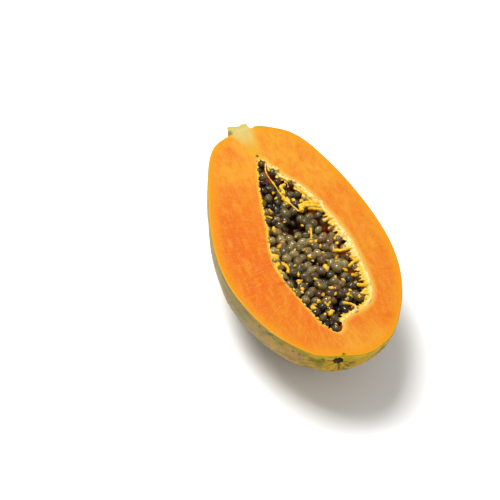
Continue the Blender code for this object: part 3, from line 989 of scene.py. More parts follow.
@dataclass
class Fruit:
    """The grown half: skin, flesh and the wall of the seed cavity as one closed surface."""

    length: float = 176 * MM
    width: float = 103.5 * MM
    cut_height: float = 50.5 * MM
    rest_spot_rise: float = 1.1 * MM
    back_lean: float = 0.8
    ridge_swell: float = 0.010
    # Cut outline from the blossom end round by the right-hand side
    outline_mm: tuple[tuple[float, float], ...] = (
        (-2.5, -86.8), (8.0, -87.7), (17.5, -84.5), (28.8, -77.0), (41.2, -58.0), (49.0, -37.5),
        (51.8, -16.5), (50.1, 7.5), (44.3, 35.0), (36.2, 58.5), (29.2, 72.5), (21.2, 80.4),
        (10.0, 84.8), (-3.0, 84.6), (-14.0, 81.4), (-22.3, 77.0), (-28.0, 70.5), (-33.8, 58.5),
        (-42.6, 32.6), (-49.1, 7.0), (-51.3, -16.5), (-49.3, -34.0), (-42.9, -53.3),
        (-33.4, -69.5), (-19.6, -82.4),
    )  # fmt: skip
    # Seed cavity outline in the cut face, from its blossom end round by the right
    cavity_mm: tuple[tuple[float, float], ...] = (
        (-3.0, -70.0), (1.4, -68.0), (4.0, -63.0), (10.0, -60.0), (20.0, -56.5), (26.5, -49.5),
        (29.2, -37.0), (29.9, -21.0), (29.2, -7.0), (26.0, 7.5), (22.0, 21.0), (15.8, 35.0),
        (8.6, 45.0), (3.2, 53.5), (-1.6, 61.0), (-5.8, 54.0), (-9.0, 43.0), (-12.8, 27.0),
        (-15.8, 10.5), (-20.2, -8.0), (-21.0, -19.0), (-19.4, -30.0), (-15.6, -43.5),
        (-11.8, -56.0), (-8.6, -64.5),
    )  # fmt: skip
    cavity_middle: tuple[float, float] = (3 * MM, -20 * MM)
    cavity_depth_share: float = 0.82
    cavity_added_depth: float = 5 * MM
    # The blossom scar: across, and down from the cut plane
    scar_place: tuple[float, float] = (-7.6 * MM, -3.9 * MM)
    scar_search: float = 20 * MM
    # The notch in the cut edge over the scar
    notch_x: float = -4.6 * MM
    notch_width: float = 1.3 * MM
    notch_depth: float = 2.6 * MM
    lump_height: float = 0.35 * MM
    crease_depth: float = 0.95 * MM
    face_roughness: float = 0.16 * MM
    mouth_raggedness: float = 0.9 * MM
    # Where the rings of points start at the blossom end, and where the mouth's are half-way
    start_x: float = -3.0 * MM
    mouth_tip_x: float = -1.6 * MM
    around: int = 640
    back_rings: int = 84
    face_rings: int = 26
    wall_rings: int = 24
    # Rings of the cut edge and of the lip of the mouth: how far in or out, and how high
    cut_edge_mm: tuple[tuple[float, float], ...] = (
        (0.10, -0.16), (0.30, -0.03), (0.6, 0.0), (1.0, 0.0), (1.5, 0.0), (2.1, 0.0), (2.8, 0.0),
    )  # fmt: skip
    lip_mm: tuple[tuple[float, float], ...] = ((0.9, 0.0), (0.45, -0.05), (0.15, -0.22), (0.0, -0.55))
    # Circles on which the grain of the flesh and the rays of the scar are laid out
    grain_circle: float = 72 * MM
    ray_circle: float = 12 * MM
    # Marks on the cut face: where the core starts, a dark dot, a bruise, the reddest and the palest flesh
    core_start_mm: float = 61.0
    dot_mm: tuple[float, float] = (-2.2, 62.8)
    bruise_mm: tuple[float, float] = (-21.6, -31.4)
    reddest_mm: tuple[float, float] = (-34.0, -12.0)
    palest_mm: tuple[float, float] = (10.0, -84.0)

    def __post_init__(self) -> None:
        """Work out the two round forms from their outlines."""
        outline = smooth_loop(self.outline_mm, 3) * MM
        outline[:, 0] *= self.width / np.ptp(outline[:, 0])
        outline[:, 0] -= (outline[:, 0].max() + outline[:, 0].min()) / 2
        outline[:, 1] -= outline[:, 1].min() + self.length / 2
        fine = smooth_loop([tuple(p) for p in outline], 12)
        self.face = RoundForm(fine, (0, 0), 1.0, lean=self.back_lean, ridge_swell=self.ridge_swell)
        places = np.linspace(-0.3, 0.3, 61) * self.length
        middles, _ = self.face.section(places)
        keel = self.face.depth(middles, places)
        self.face.depth_share = (self.cut_height + self.rest_spot_rise) / keel.max()
        self.face.middle = np.array((middles[keel.argmax()], places[keel.argmax()]))
        self.cavity = self.cavity_form(2)
        self.fine_cavity = self.cavity_form(16)

    def cavity_form(self, steps: int) -> RoundForm:
        """Work out the seed cavity.

        Args:
            steps: how many points its outline gets from one corner to the next.

        Returns:
            Its round form.
        """
        outline = smooth_loop(self.cavity_mm, steps) * MM
        return RoundForm(outline, self.cavity_middle, self.cavity_depth_share, self.cavity_added_depth)

    def mouth_places(self, count: int) -> tuple[Array, Array]:
        """Walk round the mouth of the cavity.

        Args:
            count: how many places.

        Returns:
            The places in the cut plane, and the way inwards at each.
        """
        mouth = self.fine_cavity.matched_loop(count, self.start_x, self.mouth_tip_x)
        just_inside = np.column_stack([mouth * 0.9995, np.zeros(count)])
        return mouth, self.fine_cavity.room(just_inside)[1]

    def back_points(self, outer: Array) -> Array:
        """Lay rings of points on the back.

        Args:
            outer: the cut outline.

        Returns:
            The rings, from the keel up to the cut edge.
        """
        turns = np.radians(np.linspace(89.3, 0.55, self.back_rings))
        rings = []
        for turn in turns:
            plan = self.face.middle + (outer - self.face.middle) * math.cos(turn)
            depth = self.face.depth(*plan.T)
            rings.append(np.column_stack([plan, -depth]))
        return np.array(rings)

    def scar_spot(self) -> Array:
        """The point of the blossom end where the flower fell off."""
        x, z = self.scar_place
        return np.array((x, self.skin_place(x, z, 400), z))

    def skin_place(self, x: float, z: float, steps: int) -> float:
        """Find the skin of the blossom end.

        Args:
            x: where it is looked for.
            z: its height over the cut plane.
            steps: how many places are tried.

        Returns:
            Its place along Y.
        """
        places = np.linspace(-self.length / 2, -self.length / 2 + self.scar_search, steps)
        return float(places[np.argmax(self.face.depth(np.full(steps, x), places) >= -z)])

    def shaped_back(self, rings: Array) -> Array:
        """Give the back its low lumps and the creases that run into the blossom scar.

        Args:
            rings: the points of the smooth back.

        Returns:
            The points after shaping.
        """
        normals = grid_normals(rings)
        keep = ease(-rings[:, :, 2], 0.0, 6 * MM)
        lift = self.lump_height * bumps(rings, 14 * MM, 2) * keep
        away = rings - self.scar_spot()
        far = np.linalg.norm(away, axis=2)
        angle = np.arctan2(away[:, :, 2], away[:, :, 0])
        wave = np.abs(np.sin(3.5 * angle + 1.1 + 0.9 * bumps(rings, 9 * MM, 1, 4.0)))
        crease = (1 - ease(wave, 0.0, 0.5)) * ease(far, 1 * MM, 4 * MM) * (1 - ease(far, 9 * MM, 24 * MM))
        lift = lift - self.crease_depth * crease * ease(-rings[:, :, 2], 0.5 * MM, 4 * MM)
        return rings + normals * lift[:, :, None]

    @staticmethod
    def squared_shoulder(grid: Array) -> Array:
        """Raise the flesh beside the stalk to a square corner, with a low bump next to the stub.

        Args:
            grid: all points of the fruit.

        Returns:
            The same points after shaping.
        """
        x, y, z = grid[:, :, 0] / MM, grid[:, :, 1], grid[:, :, 2]
        near = ease(y, 76 * MM, 84 * MM) * (1 - ease(-z, 0, 9 * MM))
        rise = 1.3 * ease(x, 2.6, 4.0) * (1 - ease(x, 5, 17))
        bump = 0.5 * np.exp(-(((x - 1.5) / 1.2) ** 2))
        grid[:, :, 1] += near * (rise + bump) * MM
        return grid

    def face_marks(self, points: Array) -> dict[str, Array]:
        """What shows on the cut face besides the flesh.

        Args:
            points: rows of x, y and z.

        Returns:
            The share of the yellow core, of its pale pith, of the seam at the blossom end, of the
            lighter flesh at both ends, of the redder flesh on the left, of a bruise and of a dot.
        """
        x, y = points[:, 0] / MM, points[:, 1] / MM
        up = np.clip(y - self.core_start_mm, 0, 30)
        middle = -1.6 - up * 0.17
        half = 1.6 + up * 0.30
        across = (x - middle) / half
        wide = (1 - ease(np.abs(across - 0.15), 0.35, 1.75)) * ease(y, 55, 66)
        narrow = (1 - ease(np.abs(across), 0.45, 1.15)) * ease(y, 68, 82)
        seam_x = 0.08 * (y + 70) - 3.4
        seam = 0.28 * (1 - ease(np.abs(x - seam_x), 0.2, 1.1)) * (1 - ease(y, -73, -69))
        dot, bruise, reddest, palest = (
            np.array((x - place[0], y - place[1]))
            for place in (self.dot_mm, self.bruise_mm, self.reddest_mm, self.palest_mm)
        )
        light = 0.95 * ease(y + 0.2 * x, 15, 62)
        light = np.maximum(light, 0.8 * (1 - ease(np.hypot(palest[0] / 1.5, palest[1]), 6, 26)))
        light = np.maximum(light, 0.5 * ease(x - 0.3 * np.abs(y), 14, 34))
        return {
            "core": wide,
            "pith": narrow,
            "seam": seam,
            "light": light,
            "red": 0.8 * (1 - ease(np.hypot(reddest[0] / 1.1, reddest[1] / 3.0), 3, 19)),
            "bruise": 0.7 * (1 - ease(np.hypot(bruise[0] / 1.7, bruise[1] / 0.9), 0.3, 2.4)),
            "dot": 1 - ease(np.hypot(*dot), 0.6, 1.1),
        }

    def build(self) -> bpy.types.Object:
        """Make the fruit as one closed mesh with its peel, flesh and cavity wall."""
        outer = self.face.matched_loop(self.around, self.start_x, self.start_x)
        mouth = self.fine_cavity.matched_loop(self.around, self.start_x, self.mouth_tip_x)
        way = (mouth - outer) / np.hypot(*(mouth - outer).T)[:, None]
        level = np.zeros(self.around)
        ragged = bumps(np.column_stack([mouth, level]), 2.6 * MM, 4, 12.0)
        mouth = mouth + way * (self.mouth_raggedness * ragged + 0.1 * MM)[:, None]
        back = self.shaped_back(self.back_points(outer))
        back[:, :, 2] = np.maximum(back[:, :, 2], -self.cut_height)
        cut_edge, lip = np.array(self.cut_edge_mm) * MM, np.array(self.lip_mm) * MM
        notch = np.exp(-(((outer[:, 0] - self.notch_x) / self.notch_width) ** 2)) * (outer[:, 1] < -70 * MM)
        edge = []
        for k, (inset, rise) in enumerate(cut_edge):
            share = 1 - k / len(cut_edge)
            reach = inset + self.notch_depth * share * notch
            edge.append(np.column_stack([outer + way * reach[:, None], level + rise]))
        start = outer + way * cut_edge[-1, 0]
        end = mouth - way * lip[0, 0]
        shares = np.linspace(0, 1, self.face_rings + 1)[1:-1]
        flesh = [np.column_stack([start + (end - start) * share, level]) for share in shares]
        rim = [np.column_stack([mouth - way * inset, level + rise]) for inset, rise in lip]
        wall = []
        for turn in np.radians(np.linspace(2.5, 86, self.wall_rings)):
            plan = self.fine_cavity.middle + (mouth - self.fine_cavity.middle) * math.cos(turn)
            wall.append(np.column_stack([plan, -self.fine_cavity.depth(*plan.T)]))
        grid = self.squared_shoulder(np.array([*back, *edge, *flesh, *rim, *wall]))
        first_wall = len(grid) - len(wall)
        on_face = slice(self.back_rings + 1, first_wall - 2)
        grid[on_face, :, 2] += self.face_roughness * bumps(grid[on_face], 9 * MM, 3, 7.0)
        return self.mesh_of(grid, first_wall)

    def skin_marks(self, points: Array) -> dict[str, Array]:
        """What shows on the skin besides its mottling.

        Args:
            points: rows of x, y and z.

        Returns:
            The way out from the scar on a small circle, the distance from it, and the share of the
            blossom end, of the painted shade on the left towards the blossom end, and of the gold near the
            stalk.
        """
        x, y, _ = points.T
        away = points - self.scar_spot()
        far = np.linalg.norm(away, axis=1)
        aside = np.hypot(away[:, 0], away[:, 2]) + 0.01 * MM
        wider = np.where(x < 0, -0.6, -0.25) * x
        return {
            "ray_x": self.ray_circle * away[:, 0] / aside,
            "ray_z": self.ray_circle * away[:, 2] / aside,
            "far": far,
            "blossom": 1 - ease(far + wider, 14 * MM, 50 * MM),
            # Painted shade: darker skin on the left, towards the blossom end
            "grey": 0.6 * ease(-x - 0.5 * y, 16 * MM, 44 * MM) * ease(y, -66 * MM, -40 * MM),
            "gold": 0.85 * ease(y, -40 * MM, 10 * MM),
        }

    def mesh_of(self, grid: Array, first_wall: int) -> bpy.types.Object:
        """Turn the rings into the object, with the marks that its finishes read.

        Args:
            grid: rings of points, from the keel over the cut edge to the floor of the cavity.
            first_wall: the first ring of the cavity wall.

        Returns:
            The object.
        """
        count, around = grid.shape[:2]
        points = grid.reshape(-1, 3)
        level = grid * (1, 1, 0)
        mouth = np.concatenate([self.fine_cavity.room(ring)[0] for ring in level])
        edge = np.concatenate([self.face.room(ring)[0] for ring in level])
        turn = np.tile(np.arange(around) * 2 * math.pi / around, count)
        on_skin = np.repeat(np.arange(count) < self.back_rings, around)
        marks = {
            "edge": np.where(on_skin, 0.0, edge),
            # Distance from the mouth, shrunk on the left, for the cream band that is partly a painted
            # highlight
            "mouth": -mouth * (1 + 1.6 * ease(-points[:, 0], 1 * MM, 6 * MM)),
            "drop": -points[:, 2],
            "spread_x": self.grain_circle * np.cos(turn),
            "spread_y": self.grain_circle * np.sin(turn),
            **self.face_marks(points),
            **self.skin_marks(points),
        }
        faces = grid_faces(count, around)
        first = faces.min(1)
        sides = np.where(first < self.back_rings * around, FruitSide.SKIN, FruitSide.FLESH)
        sides = np.where(first < first_wall * around, sides, FruitSide.WALL)
        parts = MeshParts()
        parts.add(points, faces, sides, **marks)
        no_marks = dict.fromkeys(marks, 0.0)
        parts.cap(grid[0].mean(0), 0, around, True, FruitSide.SKIN, **no_marks)
        parts.cap(grid[-1].mean(0), (count - 1) * around, around, False, FruitSide.WALL, **no_marks)
        made = parts.build("papaya_half", self.cut_height)
        for finish in (PeelFinish(), FleshFinish(), CavityWallFinish()):
            made.data.materials.append(finish.build())
        return made


@dataclass
class Stalk:
    """The stub of the stalk, halved with the fruit."""

    centre_x: float = -5.2 * MM
    # Place along Y and radius, from its foot in the flesh to its torn end
    profile_mm: tuple[tuple[float, float], ...] = (
        (72.0, 5.0), (79.5, 9.0), (83.5, 8.2), (86.0, 7.3), (87.5, 7.0), (88.1, 6.4),
    )  # fmt: skip
    rib_swell: float = 0.05
    ribs: int = 5
    # How much slimmer its right side is
    slimmer: float = 0.18
    rind_roughness: float = 0.21 * MM
    cut_roughness: float = 0.12 * MM
    # The torn end: its general height, its raggedness, and the tatter right of the middle
    tear_rise: float = 0.5 * MM
    tear_raggedness: float = 0.8 * MM
    tatter_x: float = -1.2 * MM
    tatter_width: float = 2.6 * MM
    tatter_rise: float = 0.9 * MM
    left_rise: float = 0.2 * MM
    end_hollow: float = 0.6 * MM
    around: int = 96
    rings: int = 40

    def rings_of_points(self) -> Array:
        """Lay the smooth rings of the stub, each half round below and straight in the cut."""
        knots = np.array(self.profile_mm) * MM
        lengths = np.concatenate([[0], np.cumsum(np.hypot(*np.diff(knots, axis=0).T))])
        spots = np.linspace(0, lengths[-1], self.rings)
        turn = math.pi + np.linspace(0, math.pi, self.around // 2 + 1)
        across = np.linspace(1, -1, self.around // 2 + 1)[1:-1]
        slim = np.where(np.cos(turn) > 0, 1 - self.slimmer * np.cos(turn), 1.0)
        rings = []
        for y, radius in zip(*(np.interp(spots, lengths, side) for side in knots.T)):
            reach = radius * slim * (1 + self.rib_swell * np.sin(self.ribs * turn))
            row = np.interp(across, (-1, 1), (-reach[0], reach[-1]))
            x = self.centre_x + np.concatenate([reach * np.cos(turn), row])
            z = np.concatenate([reach * np.sin(turn), 0 * row])
            rings.append(np.column_stack([x, np.full(len(x), y), z]))
        return np.array(rings)

    def build(self, cut_height: float) -> bpy.types.Object:
        """Make the stub with its ribs and its ragged end.

        Args:
            cut_height: height of the cut plane over the table.

        Returns:
            The object.
        """
        grid = self.rings_of_points()
        around = grid.shape[1]
        rough = bumps(grid * (1, 0.25, 1), 1.6 * MM, 3, 2.0)
        below = ease(-grid[:, :, 2], 0, 0.6 * MM)
        grid = grid - grid_normals(grid) * (self.rind_roughness * rough * below)[:, :, None]
        grid[:, :, 2] += (1 - below) * (self.cut_roughness * bumps(grid, 2.2 * MM, 2, 6.0) - 0.05 * MM)
        torn = ease(np.arange(self.rings), self.rings * 0.75, self.rings - 1)[:, None]
        ragged = self.tear_raggedness * bumps(grid * (1, 0, 1), 2.4 * MM, 3, 5.0)
        tatter = self.tatter_rise * np.exp(-(((grid[:, :, 0] - self.tatter_x) / self.tatter_width) ** 2))
        left_side = self.left_rise * ease(-grid[:, :, 0], 6 * MM, 11 * MM)
        grid[:, :, 1] += torn * (ragged + tatter + left_side + self.tear_rise)
        buried = 1 - ease(grid[:, :, 1], 81 * MM, 84.5 * MM)
        grid[:, :, 2] -= (0.4 * torn + 0.5 * buried) * (1 - below) * MM
        points = grid.reshape(-1, 3)
        out = self.centre_x - points[:, 0]
        left = ease(out, 3 * MM, 7 * MM)
        low = 1 - ease(points[:, 1], 82 * MM, 86 * MM)
        in_cut = np.tile(np.arange(around) > self.around // 2, self.rings)
        cut = in_cut * (1 - 0.7 * np.repeat(torn[:, 0], around)) * (1 - 0.75 * left)
        corner = ease(out, 4.4 * MM, 6.6 * MM) * (1 - ease(points[:, 1], 84 * MM, 86.5 * MM))
        # Brown low on the left and in the left corner at the foot: partly dried rind, partly painted shade
        foot = np.maximum(left * low * (1 - cut), 0.8 * corner)
        parts = MeshParts()
        parts.add(points, grid_faces(self.rings, around), foot=foot, cut=cut)
        last = (self.rings - 1) * around
        parts.cap(grid[0].mean(0), 0, around, True, foot=0.0, cut=0.0)
        parts.cap(grid[-1].mean(0) - (0, self.end_hollow, 0), last, around, False, foot=0.0, cut=0.0)
        made = parts.build("stalk_stub", cut_height)
        made.data.materials.append(StalkFinish().build())
        return made


@dataclass
class Scar:
    """The dry scar that the flower left on the blossom end."""

    half_width: float = 3.0 * MM
    half_height: float = 3.1 * MM
    raggedness: float = 0.26
    # How high its middle stands on the skin, how far its edge sinks in, and how rough it is
    rise: float = 0.55 * MM
    sink: float = 0.35 * MM
    roughness: float = 0.5 * MM
    back: float = 1.0 * MM
    around: int = 48
    rings: int = 10

    def build(self, fruit: Fruit) -> bpy.types.Object:
        """Make the crust on the skin of the fruit.

        Args:
            fruit: the half that it sits on.

        Returns:
            The object.
        """
        spot = fruit.scar_spot()
        turn = np.linspace(0, 2 * math.pi, self.around, endpoint=False)
        circle = np.column_stack([np.cos(turn), np.sin(turn), 0 * turn])
        ragged = 1 + self.raggedness * bumps(circle, 0.9, 3, 9.0)
        rings = []
        for share in np.linspace(0.08, 1, self.rings):
            x = spot[0] + self.half_width * share * ragged * np.cos(turn)
            z = spot[2] + self.half_height * share * ragged * np.sin(turn)
            y = np.array([fruit.skin_place(a, b, 240) for a, b in zip(x, z)])
            height = self.rise * (1 - share**4) - self.sink * ease(share, 0.8, 1)
            rings.append(np.column_stack([x, y - height, z]))
        grid = np.array(rings)
        fading = np.linspace(1, 0, self.rings)[:, None]
        grid[:, :, 1] -= self.roughness * bumps(grid, 0.8 * MM, 3, 3.0) * fading
        whole = np.concatenate([grid, grid[-1:] + (0, self.back, 0)])
        parts = MeshParts()
        parts.add(whole.reshape(-1, 3), grid_faces(len(whole), self.around)[:, ::-1])
        parts.cap(whole[0].mean(0), 0, self.around, False)
        parts.cap(whole[-1].mean(0), self.rings * self.around, self.around, True)
        made = parts.build("blossom_scar", fruit.cut_height)
        made.data.materials.append(ScarFinish().build())
        return made


@dataclass(frozen=True)
class SeedLayer:
    """One layer of the heap of seeds, with how pale its jelly is drawn, darker lower down as painted shade,
    and how wet it looks.
    """

    draw: int
    count: int
    sink: float
    tone: float
    wet: float


@dataclass
class Seeds:
    """The seeds in the cavity: the layer on top and the two under it, drawn darker as painted shade."""

    fruit: Fruit
    top: SeedLayer = SeedLayer(21, 146, 0.0, 1.0, 1.0)
    # Lower layers: their jelly is painted dark, as painted shade in the gaps between the top seeds, and has
    # less coat
    lower: tuple[SeedLayer, ...] = (
        SeedLayer(61, 120, 5.0 * MM, 0.15, 0.35), SeedLayer(101, 90, 8.6 * MM, 0.0, 0.1),
    )  # fmt: skip
    # No lower seeds lie past this place in the narrow stalk end
    lower_end: float = 43 * MM
    diameter: float = 5.7 * MM
    size_spread: float = 0.08
    least_radius: float = 2 * MM
    lift_spread: float = 1.2 * MM
    trials: int = 14
    settling_steps: int = 80
    settling_push: float = 0.35
    packing: float = 1.03
    wall_gap: float = 0.4 * MM
    band_thickness: float = 1.3 * MM
    # Half widths of the cavity from which seeds keep more and more off its wall, up to the whole
    # band
    band_from: float = 4 * MM
    band_whole: float = 9 * MM
    band_least_share: float = 0.4
    # Share of the seeds that sit lower than the rest, and of those that are missing
    sunken_share: float = 0.30
    missing_share: float = 0.08
    pile_level: float = -1.4 * MM
    pile_dip_share: float = 0.45
    trough_share: float = 0.6
    bed_drop: float = 3.4 * MM
    bed_share: float = 0.55
    # Hollows and swells of the pile: x, y, rise, reach across, reach along
    pile_shape_mm: tuple[tuple[float, ...], ...] = (
        (-4.5, 11.0, -6.0, 6.0, 9.0), (-6.0, -18.0, -2.5, 4.0, 5.0), (27.0, -14.0, -3.5, 6.0, 34.0),
        (3.0, 44.0, -2.0, 12.0, 14.0), (2.0, -42.0, 1.8, 14.0, 15.0), (8.0, 0.0, 1.2, 8.0, 14.0),
    )  # fmt: skip
    # Seeds in the two narrow ends: x, y, diameter
    tip_seeds_mm: tuple[tuple[float, float, float], ...] = (
        (-1.2, 57.0, 4.7), (2.8, 49.4, 5.5), (-4.0, 47.8, 5.4), (-5.4, 42.8, 4.6), (3.1, 42.0, 5.4),
        (10.4, 39.0, 5.0), (-7.0, 36.9, 5.3), (-2.5, 37.7, 6.0), (-0.3, -60.8, 6.0),
        (-6.7, -58.7, 5.2), (-6.4, -62.9, 4.7), (-2.2, -66.8, 5.4), (7.8, -55.4, 5.8),
        (13.1, -56.5, 4.8), (19.1, -49.0, 6.2), (-11.7, -44.4, 6.0), (-8.8, -53.9, 5.6),
    )  # fmt: skip
    tip_level: float = -1.5 * MM
    # Rows along the mouth: first and last place round it, then the least and most that a seed is
    # in from the mouth and down from the cut plane, in radii
    rim_rows: tuple[tuple[int, int, tuple[float, float], tuple[float, float]], ...] = (
        (384, 690, (0.78, 1.15), (0.75, 1.00)), (44, 320, (1.50, 2.10), (1.10, 1.60)),
    )  # fmt: skip
    rim_places: int = 720
    # Shapes of the sacs and of the cores: points round, rings, bumpiness, and how many there are
    sac_shape: tuple[int, int, float, int] = (20, 11, 0.08, 6)
    core_shape: tuple[int, int, float, int] = (14, 8, 0.24, 4)
    core_size: float = 0.77
    core_shift: float = 0.07
    # Where light shines through the jelly and makes it amber
    amber_spots_mm: tuple[tuple[float, float], ...] = ((17.0, -4.0), (11.5, -38.0), (24.0, 4.0))
    # Hollows where no seeds lie on top: x, y, reach across, reach along
    hollows_mm: tuple[tuple[float, float, float, float], ...] = (
        (4.0, 12.4, 5.4, 4.2), (3.2, 7.0, 3.0, 2.6), (16.0, 19.5, 4.4, 2.0), (3.4, 53.0, 4.0, 2.6),
        (6.4, 46.2, 2.4, 3.0),
    )  # fmt: skip

    def __post_init__(self) -> None:
        """Place the seeds of the top layer, and loosen them."""
        centres, radii = self.place(self.top)
        tips = np.array(self.tip_seeds_mm) * MM
        own = np.column_stack([tips[:, :2], np.full(len(tips), self.tip_level)])
        gaps = np.linalg.norm(centres[:, None] - own[None], axis=2)
        free = (gaps > 0.80 * (radii[:, None] + tips[None, :, 2] / 2)).all(1)
        centres, radii = centres[free], radii[free]
        draw = random.Random(self.top.draw + 7)
        shifts = []
        for _ in centres:
            roll = draw.random()
            rise = -draw.uniform(0.9, 2.3) if roll < self.sunken_share else draw.uniform(-0.3, 0.7)
            shifts.append((draw.uniform(-0.45, 0.45), draw.uniform(-0.45, 0.45), rise))
        centres = centres + np.array(shifts) * MM
        radii = radii * np.array([draw.uniform(0.94, 1.16) for _ in centres])
        own, own_radii = self.rim_row(draw, own, tips[:, 2] / 2)
        gaps = np.linalg.norm(centres[:, None] - own[None], axis=2)
        kept = (gaps > 0.82 * (radii[:, None] + own_radii[None, :])).all(1)
        kept &= np.array([draw.random() > self.missing_share for _ in centres]) & ~self.in_hollow(centres)
        self.centres = np.vstack([centres[kept], own])
        self.radii = np.concatenate([radii[kept], own_radii])

    def rim_row(self, draw: random.Random, own: Array, radii: Array) -> tuple[Array, Array]:
        """Add the rows of seeds along both edges of the mouth.

        Args:
            draw: the random numbers.
            own: seeds that are there already.
            radii: their radii.

        Returns:
            All of them, with their radii.
        """
        mouth, inward = self.fruit.mouth_places(self.rim_places)
        for i, last, insets, drops in self.rim_rows:
            while i < last:
                radius = draw.uniform(2.2, 2.9) * MM
                plan = mouth[i] + inward[i] * radius * draw.uniform(*insets)
                spot = np.array((*plan, -radius * draw.uniform(*drops)))
                if (np.linalg.norm(own - spot, axis=1) > 0.85 * (radii + radius)).all():
                    own, radii = np.vstack([own, spot]), np.append(radii, radius)
                i += draw.randrange(12, 21)
        return own, radii

    def in_hollow(self, centres: Array) -> Array:
        """Find the seeds that are where the pile has its dark hollows.

        Args:
            centres: the seeds.

        Returns:
            Whether each is in a hollow.
        """
        inside = np.zeros(len(centres), bool)
        for x, y, across, along in np.array(self.hollows_mm) * MM:
            inside |= ((centres[:, 0] - x) / across) ** 2 + ((centres[:, 1] - y) / along) ** 2 < 1
        return inside

    def pile_height(self, x: Array, y: Array) -> Array:
        """Work out how high the pile is.

        Args:
            x: points of the cut plane.
            y: points of the cut plane.

        Returns:
            The height of its top at each, from the cut plane.
        """
        height = np.full(np.shape(x), self.pile_level)
        for middle_x, middle_y, rise, across, along in self.pile_shape_mm:
            far = ((x / MM - middle_x) / across) ** 2 + ((y / MM - middle_y) / along) ** 2
            height = height + rise * MM * np.exp(-far)
        half = self.fruit.cavity.section(y)[1]
        return np.maximum(height, -self.pile_dip_share * self.fruit.cavity.fullness(half) * half)

    def margin(self, y: Array) -> Array:
        """Work out how far seeds stay off the wall, less where the cavity is narrow.

        Args:
            y: where they are.

        Returns:
            The distance for each.
        """
        half = self.fruit.cavity.section(y)[1]
        share = (half - self.band_from) / (self.band_whole - self.band_from)
        share = np.clip(share, self.band_least_share, 1.0)
        return self.wall_gap * 2 + self.band_thickness * share

    def spots(self, x: Array, y: Array, radius: Array, lift: Array) -> Array:
        """Set seeds on the pile, but not jammed in a narrow end.

        Args:
            x: points of the cut plane.
            y: points of the cut plane.
            radius: their radii.
            lift: how far each is lifted off the pile.

        Returns:
            Their centres.
        """
        half = self.fruit.cavity.section(y)[1]
        trough = np.maximum(self.fruit.cavity.fullness(half) * half - radius - self.margin(y), 0)
        level = self.pile_height(x, y) - radius + lift
        return np.stack([x, y, np.maximum(level, -self.trough_share * trough)], axis=-1)

    def place(self, layer: SeedLayer) -> tuple[Array, Array]:
        """Spread seeds evenly, then push them apart and off the wall.

        Args:
            layer: the layer that they are in.

        Returns:
            Their centres and radii.
        """
        draw = random.Random(layer.draw)
        cavity = self.fruit.cavity
        low, high = cavity.outline.min(0), cavity.outline.max(0)
        centres: list[Array] = []
        sizes: list[float] = []
        raised: list[float] = []
        while len(centres) < layer.count:
            radius = self.diameter / 2 * (1 + self.size_spread * draw.uniform(-1, 1))
            lift = self.lift_spread * draw.uniform(-1, 1) - layer.sink
            tries = [[draw.uniform(low[k], high[k]) for k in (0, 1)] for _ in range(self.trials)]
            x, y = np.array(tries).T
            spots = self.spots(x, y, np.full(self.trials, radius), np.full(self.trials, lift))
            fits = cavity.room(spots)[0] >= self.least_radius + self.margin(spots[:, 1])
            if not fits.any():
                continue
            spots = spots[fits]
            if centres:
                gaps = np.linalg.norm(spots[:, None] - np.array(centres)[None], axis=2).min(1)
                best = spots[gaps.argmax()]
            else:
                best = spots[0]
            centres.append(best)
            sizes.append(radius)
            raised.append(lift)
        points, radii, lifts = np.array(centres), np.array(sizes), np.array(raised)
        least = self.packing * (radii[:, None] + radii[None, :])
        selves = np.eye(layer.count)
        for _ in range(self.settling_steps):
            apart = points[:, None, :] - points[None, :, :]
            gaps = np.linalg.norm(apart, axis=2) + selves
            push = np.clip(least - gaps, 0, None) * (1 - selves)
            points = points + self.settling_push * (apart * (push / gaps)[:, :, None]).sum(1)
            points = self.spots(points[:, 0], points[:, 1], radii, lifts)
            room, inward = cavity.room(points)
            lack = np.maximum(radii + self.margin(points[:, 1]) - room, 0)
            points[:, :2] += inward * lack[:, None]
        rooms = cavity.room(points)[0] - self.margin(points[:, 1])
        kept = rooms >= self.least_radius
        return points[kept], np.minimum(radii, rooms)[kept]

    def cover(self, x: float, y: float, radius: float) -> float:
        """Find how high pulp lies on the seeds, or on the bed between them.

        Args:
            x: where it lies.
            y: where it lies.
            radius: the radius of the pulp.

        Returns:
            The height of its middle, from the cut plane.
        """
        reach = self.radii + radius
        aside = np.hypot(self.centres[:, 0] - x, self.centres[:, 1] - y)
        over = aside < reach
        lift = self.centres[over, 2] + np.sqrt(reach[over] ** 2 - aside[over] ** 2)
        half = self.fruit.cavity.section(np.array(y))[1]
        deepest = float(self.fruit.cavity.fullness(half) * half)
        bed = -min(self.bed_drop - float(self.pile_height(x, y)), self.bed_share * deepest)
        return max([bed + radius, *lift])

    @staticmethod
    def template(sides: int, rings: int, shift: float, rough: float) -> tuple[Array, Array]:
        """Make an egg-shaped bumpy seed of radius 1.

        Args:
            sides: points round it.
            rings: rings between its two ends.
            shift: which of the bumpy forms it is.
            rough: height of the bumps.

        Returns:
            Its points and faces.
        """
        up = np.linspace(0, math.pi, rings + 2)[1:-1]
        turn = np.linspace(0, 2 * math.pi, sides, endpoint=False)
        across = np.sin(up)[:, None]
        height = np.cos(up)[:, None] + 0 * turn
        ring = np.stack([across * np.cos(turn), across * np.sin(turn), height], axis=2)
        points = np.vstack([ring.reshape(-1, 3), [[0, 0, 1], [0, 0, -1]]])
        ways = points.copy()
        points = points * (0.93, 0.88, 1.07)
        taper = 1 - 0.10 * points[:, 2:] ** 2 * np.sign(points[:, 2:])
        points[:, :2] *= taper
        points += ways * (rough * bumps(ways, 0.75, 2, shift))[:, None]
        faces = [grid_faces(rings, sides)[:, ::-1]]
        last = len(points) - 2
        faces.append(fan_faces(last, 0, sides))
        faces.append(fan_faces(last + 1, (rings - 1) * sides, sides, True))
        return points, np.vstack(faces)

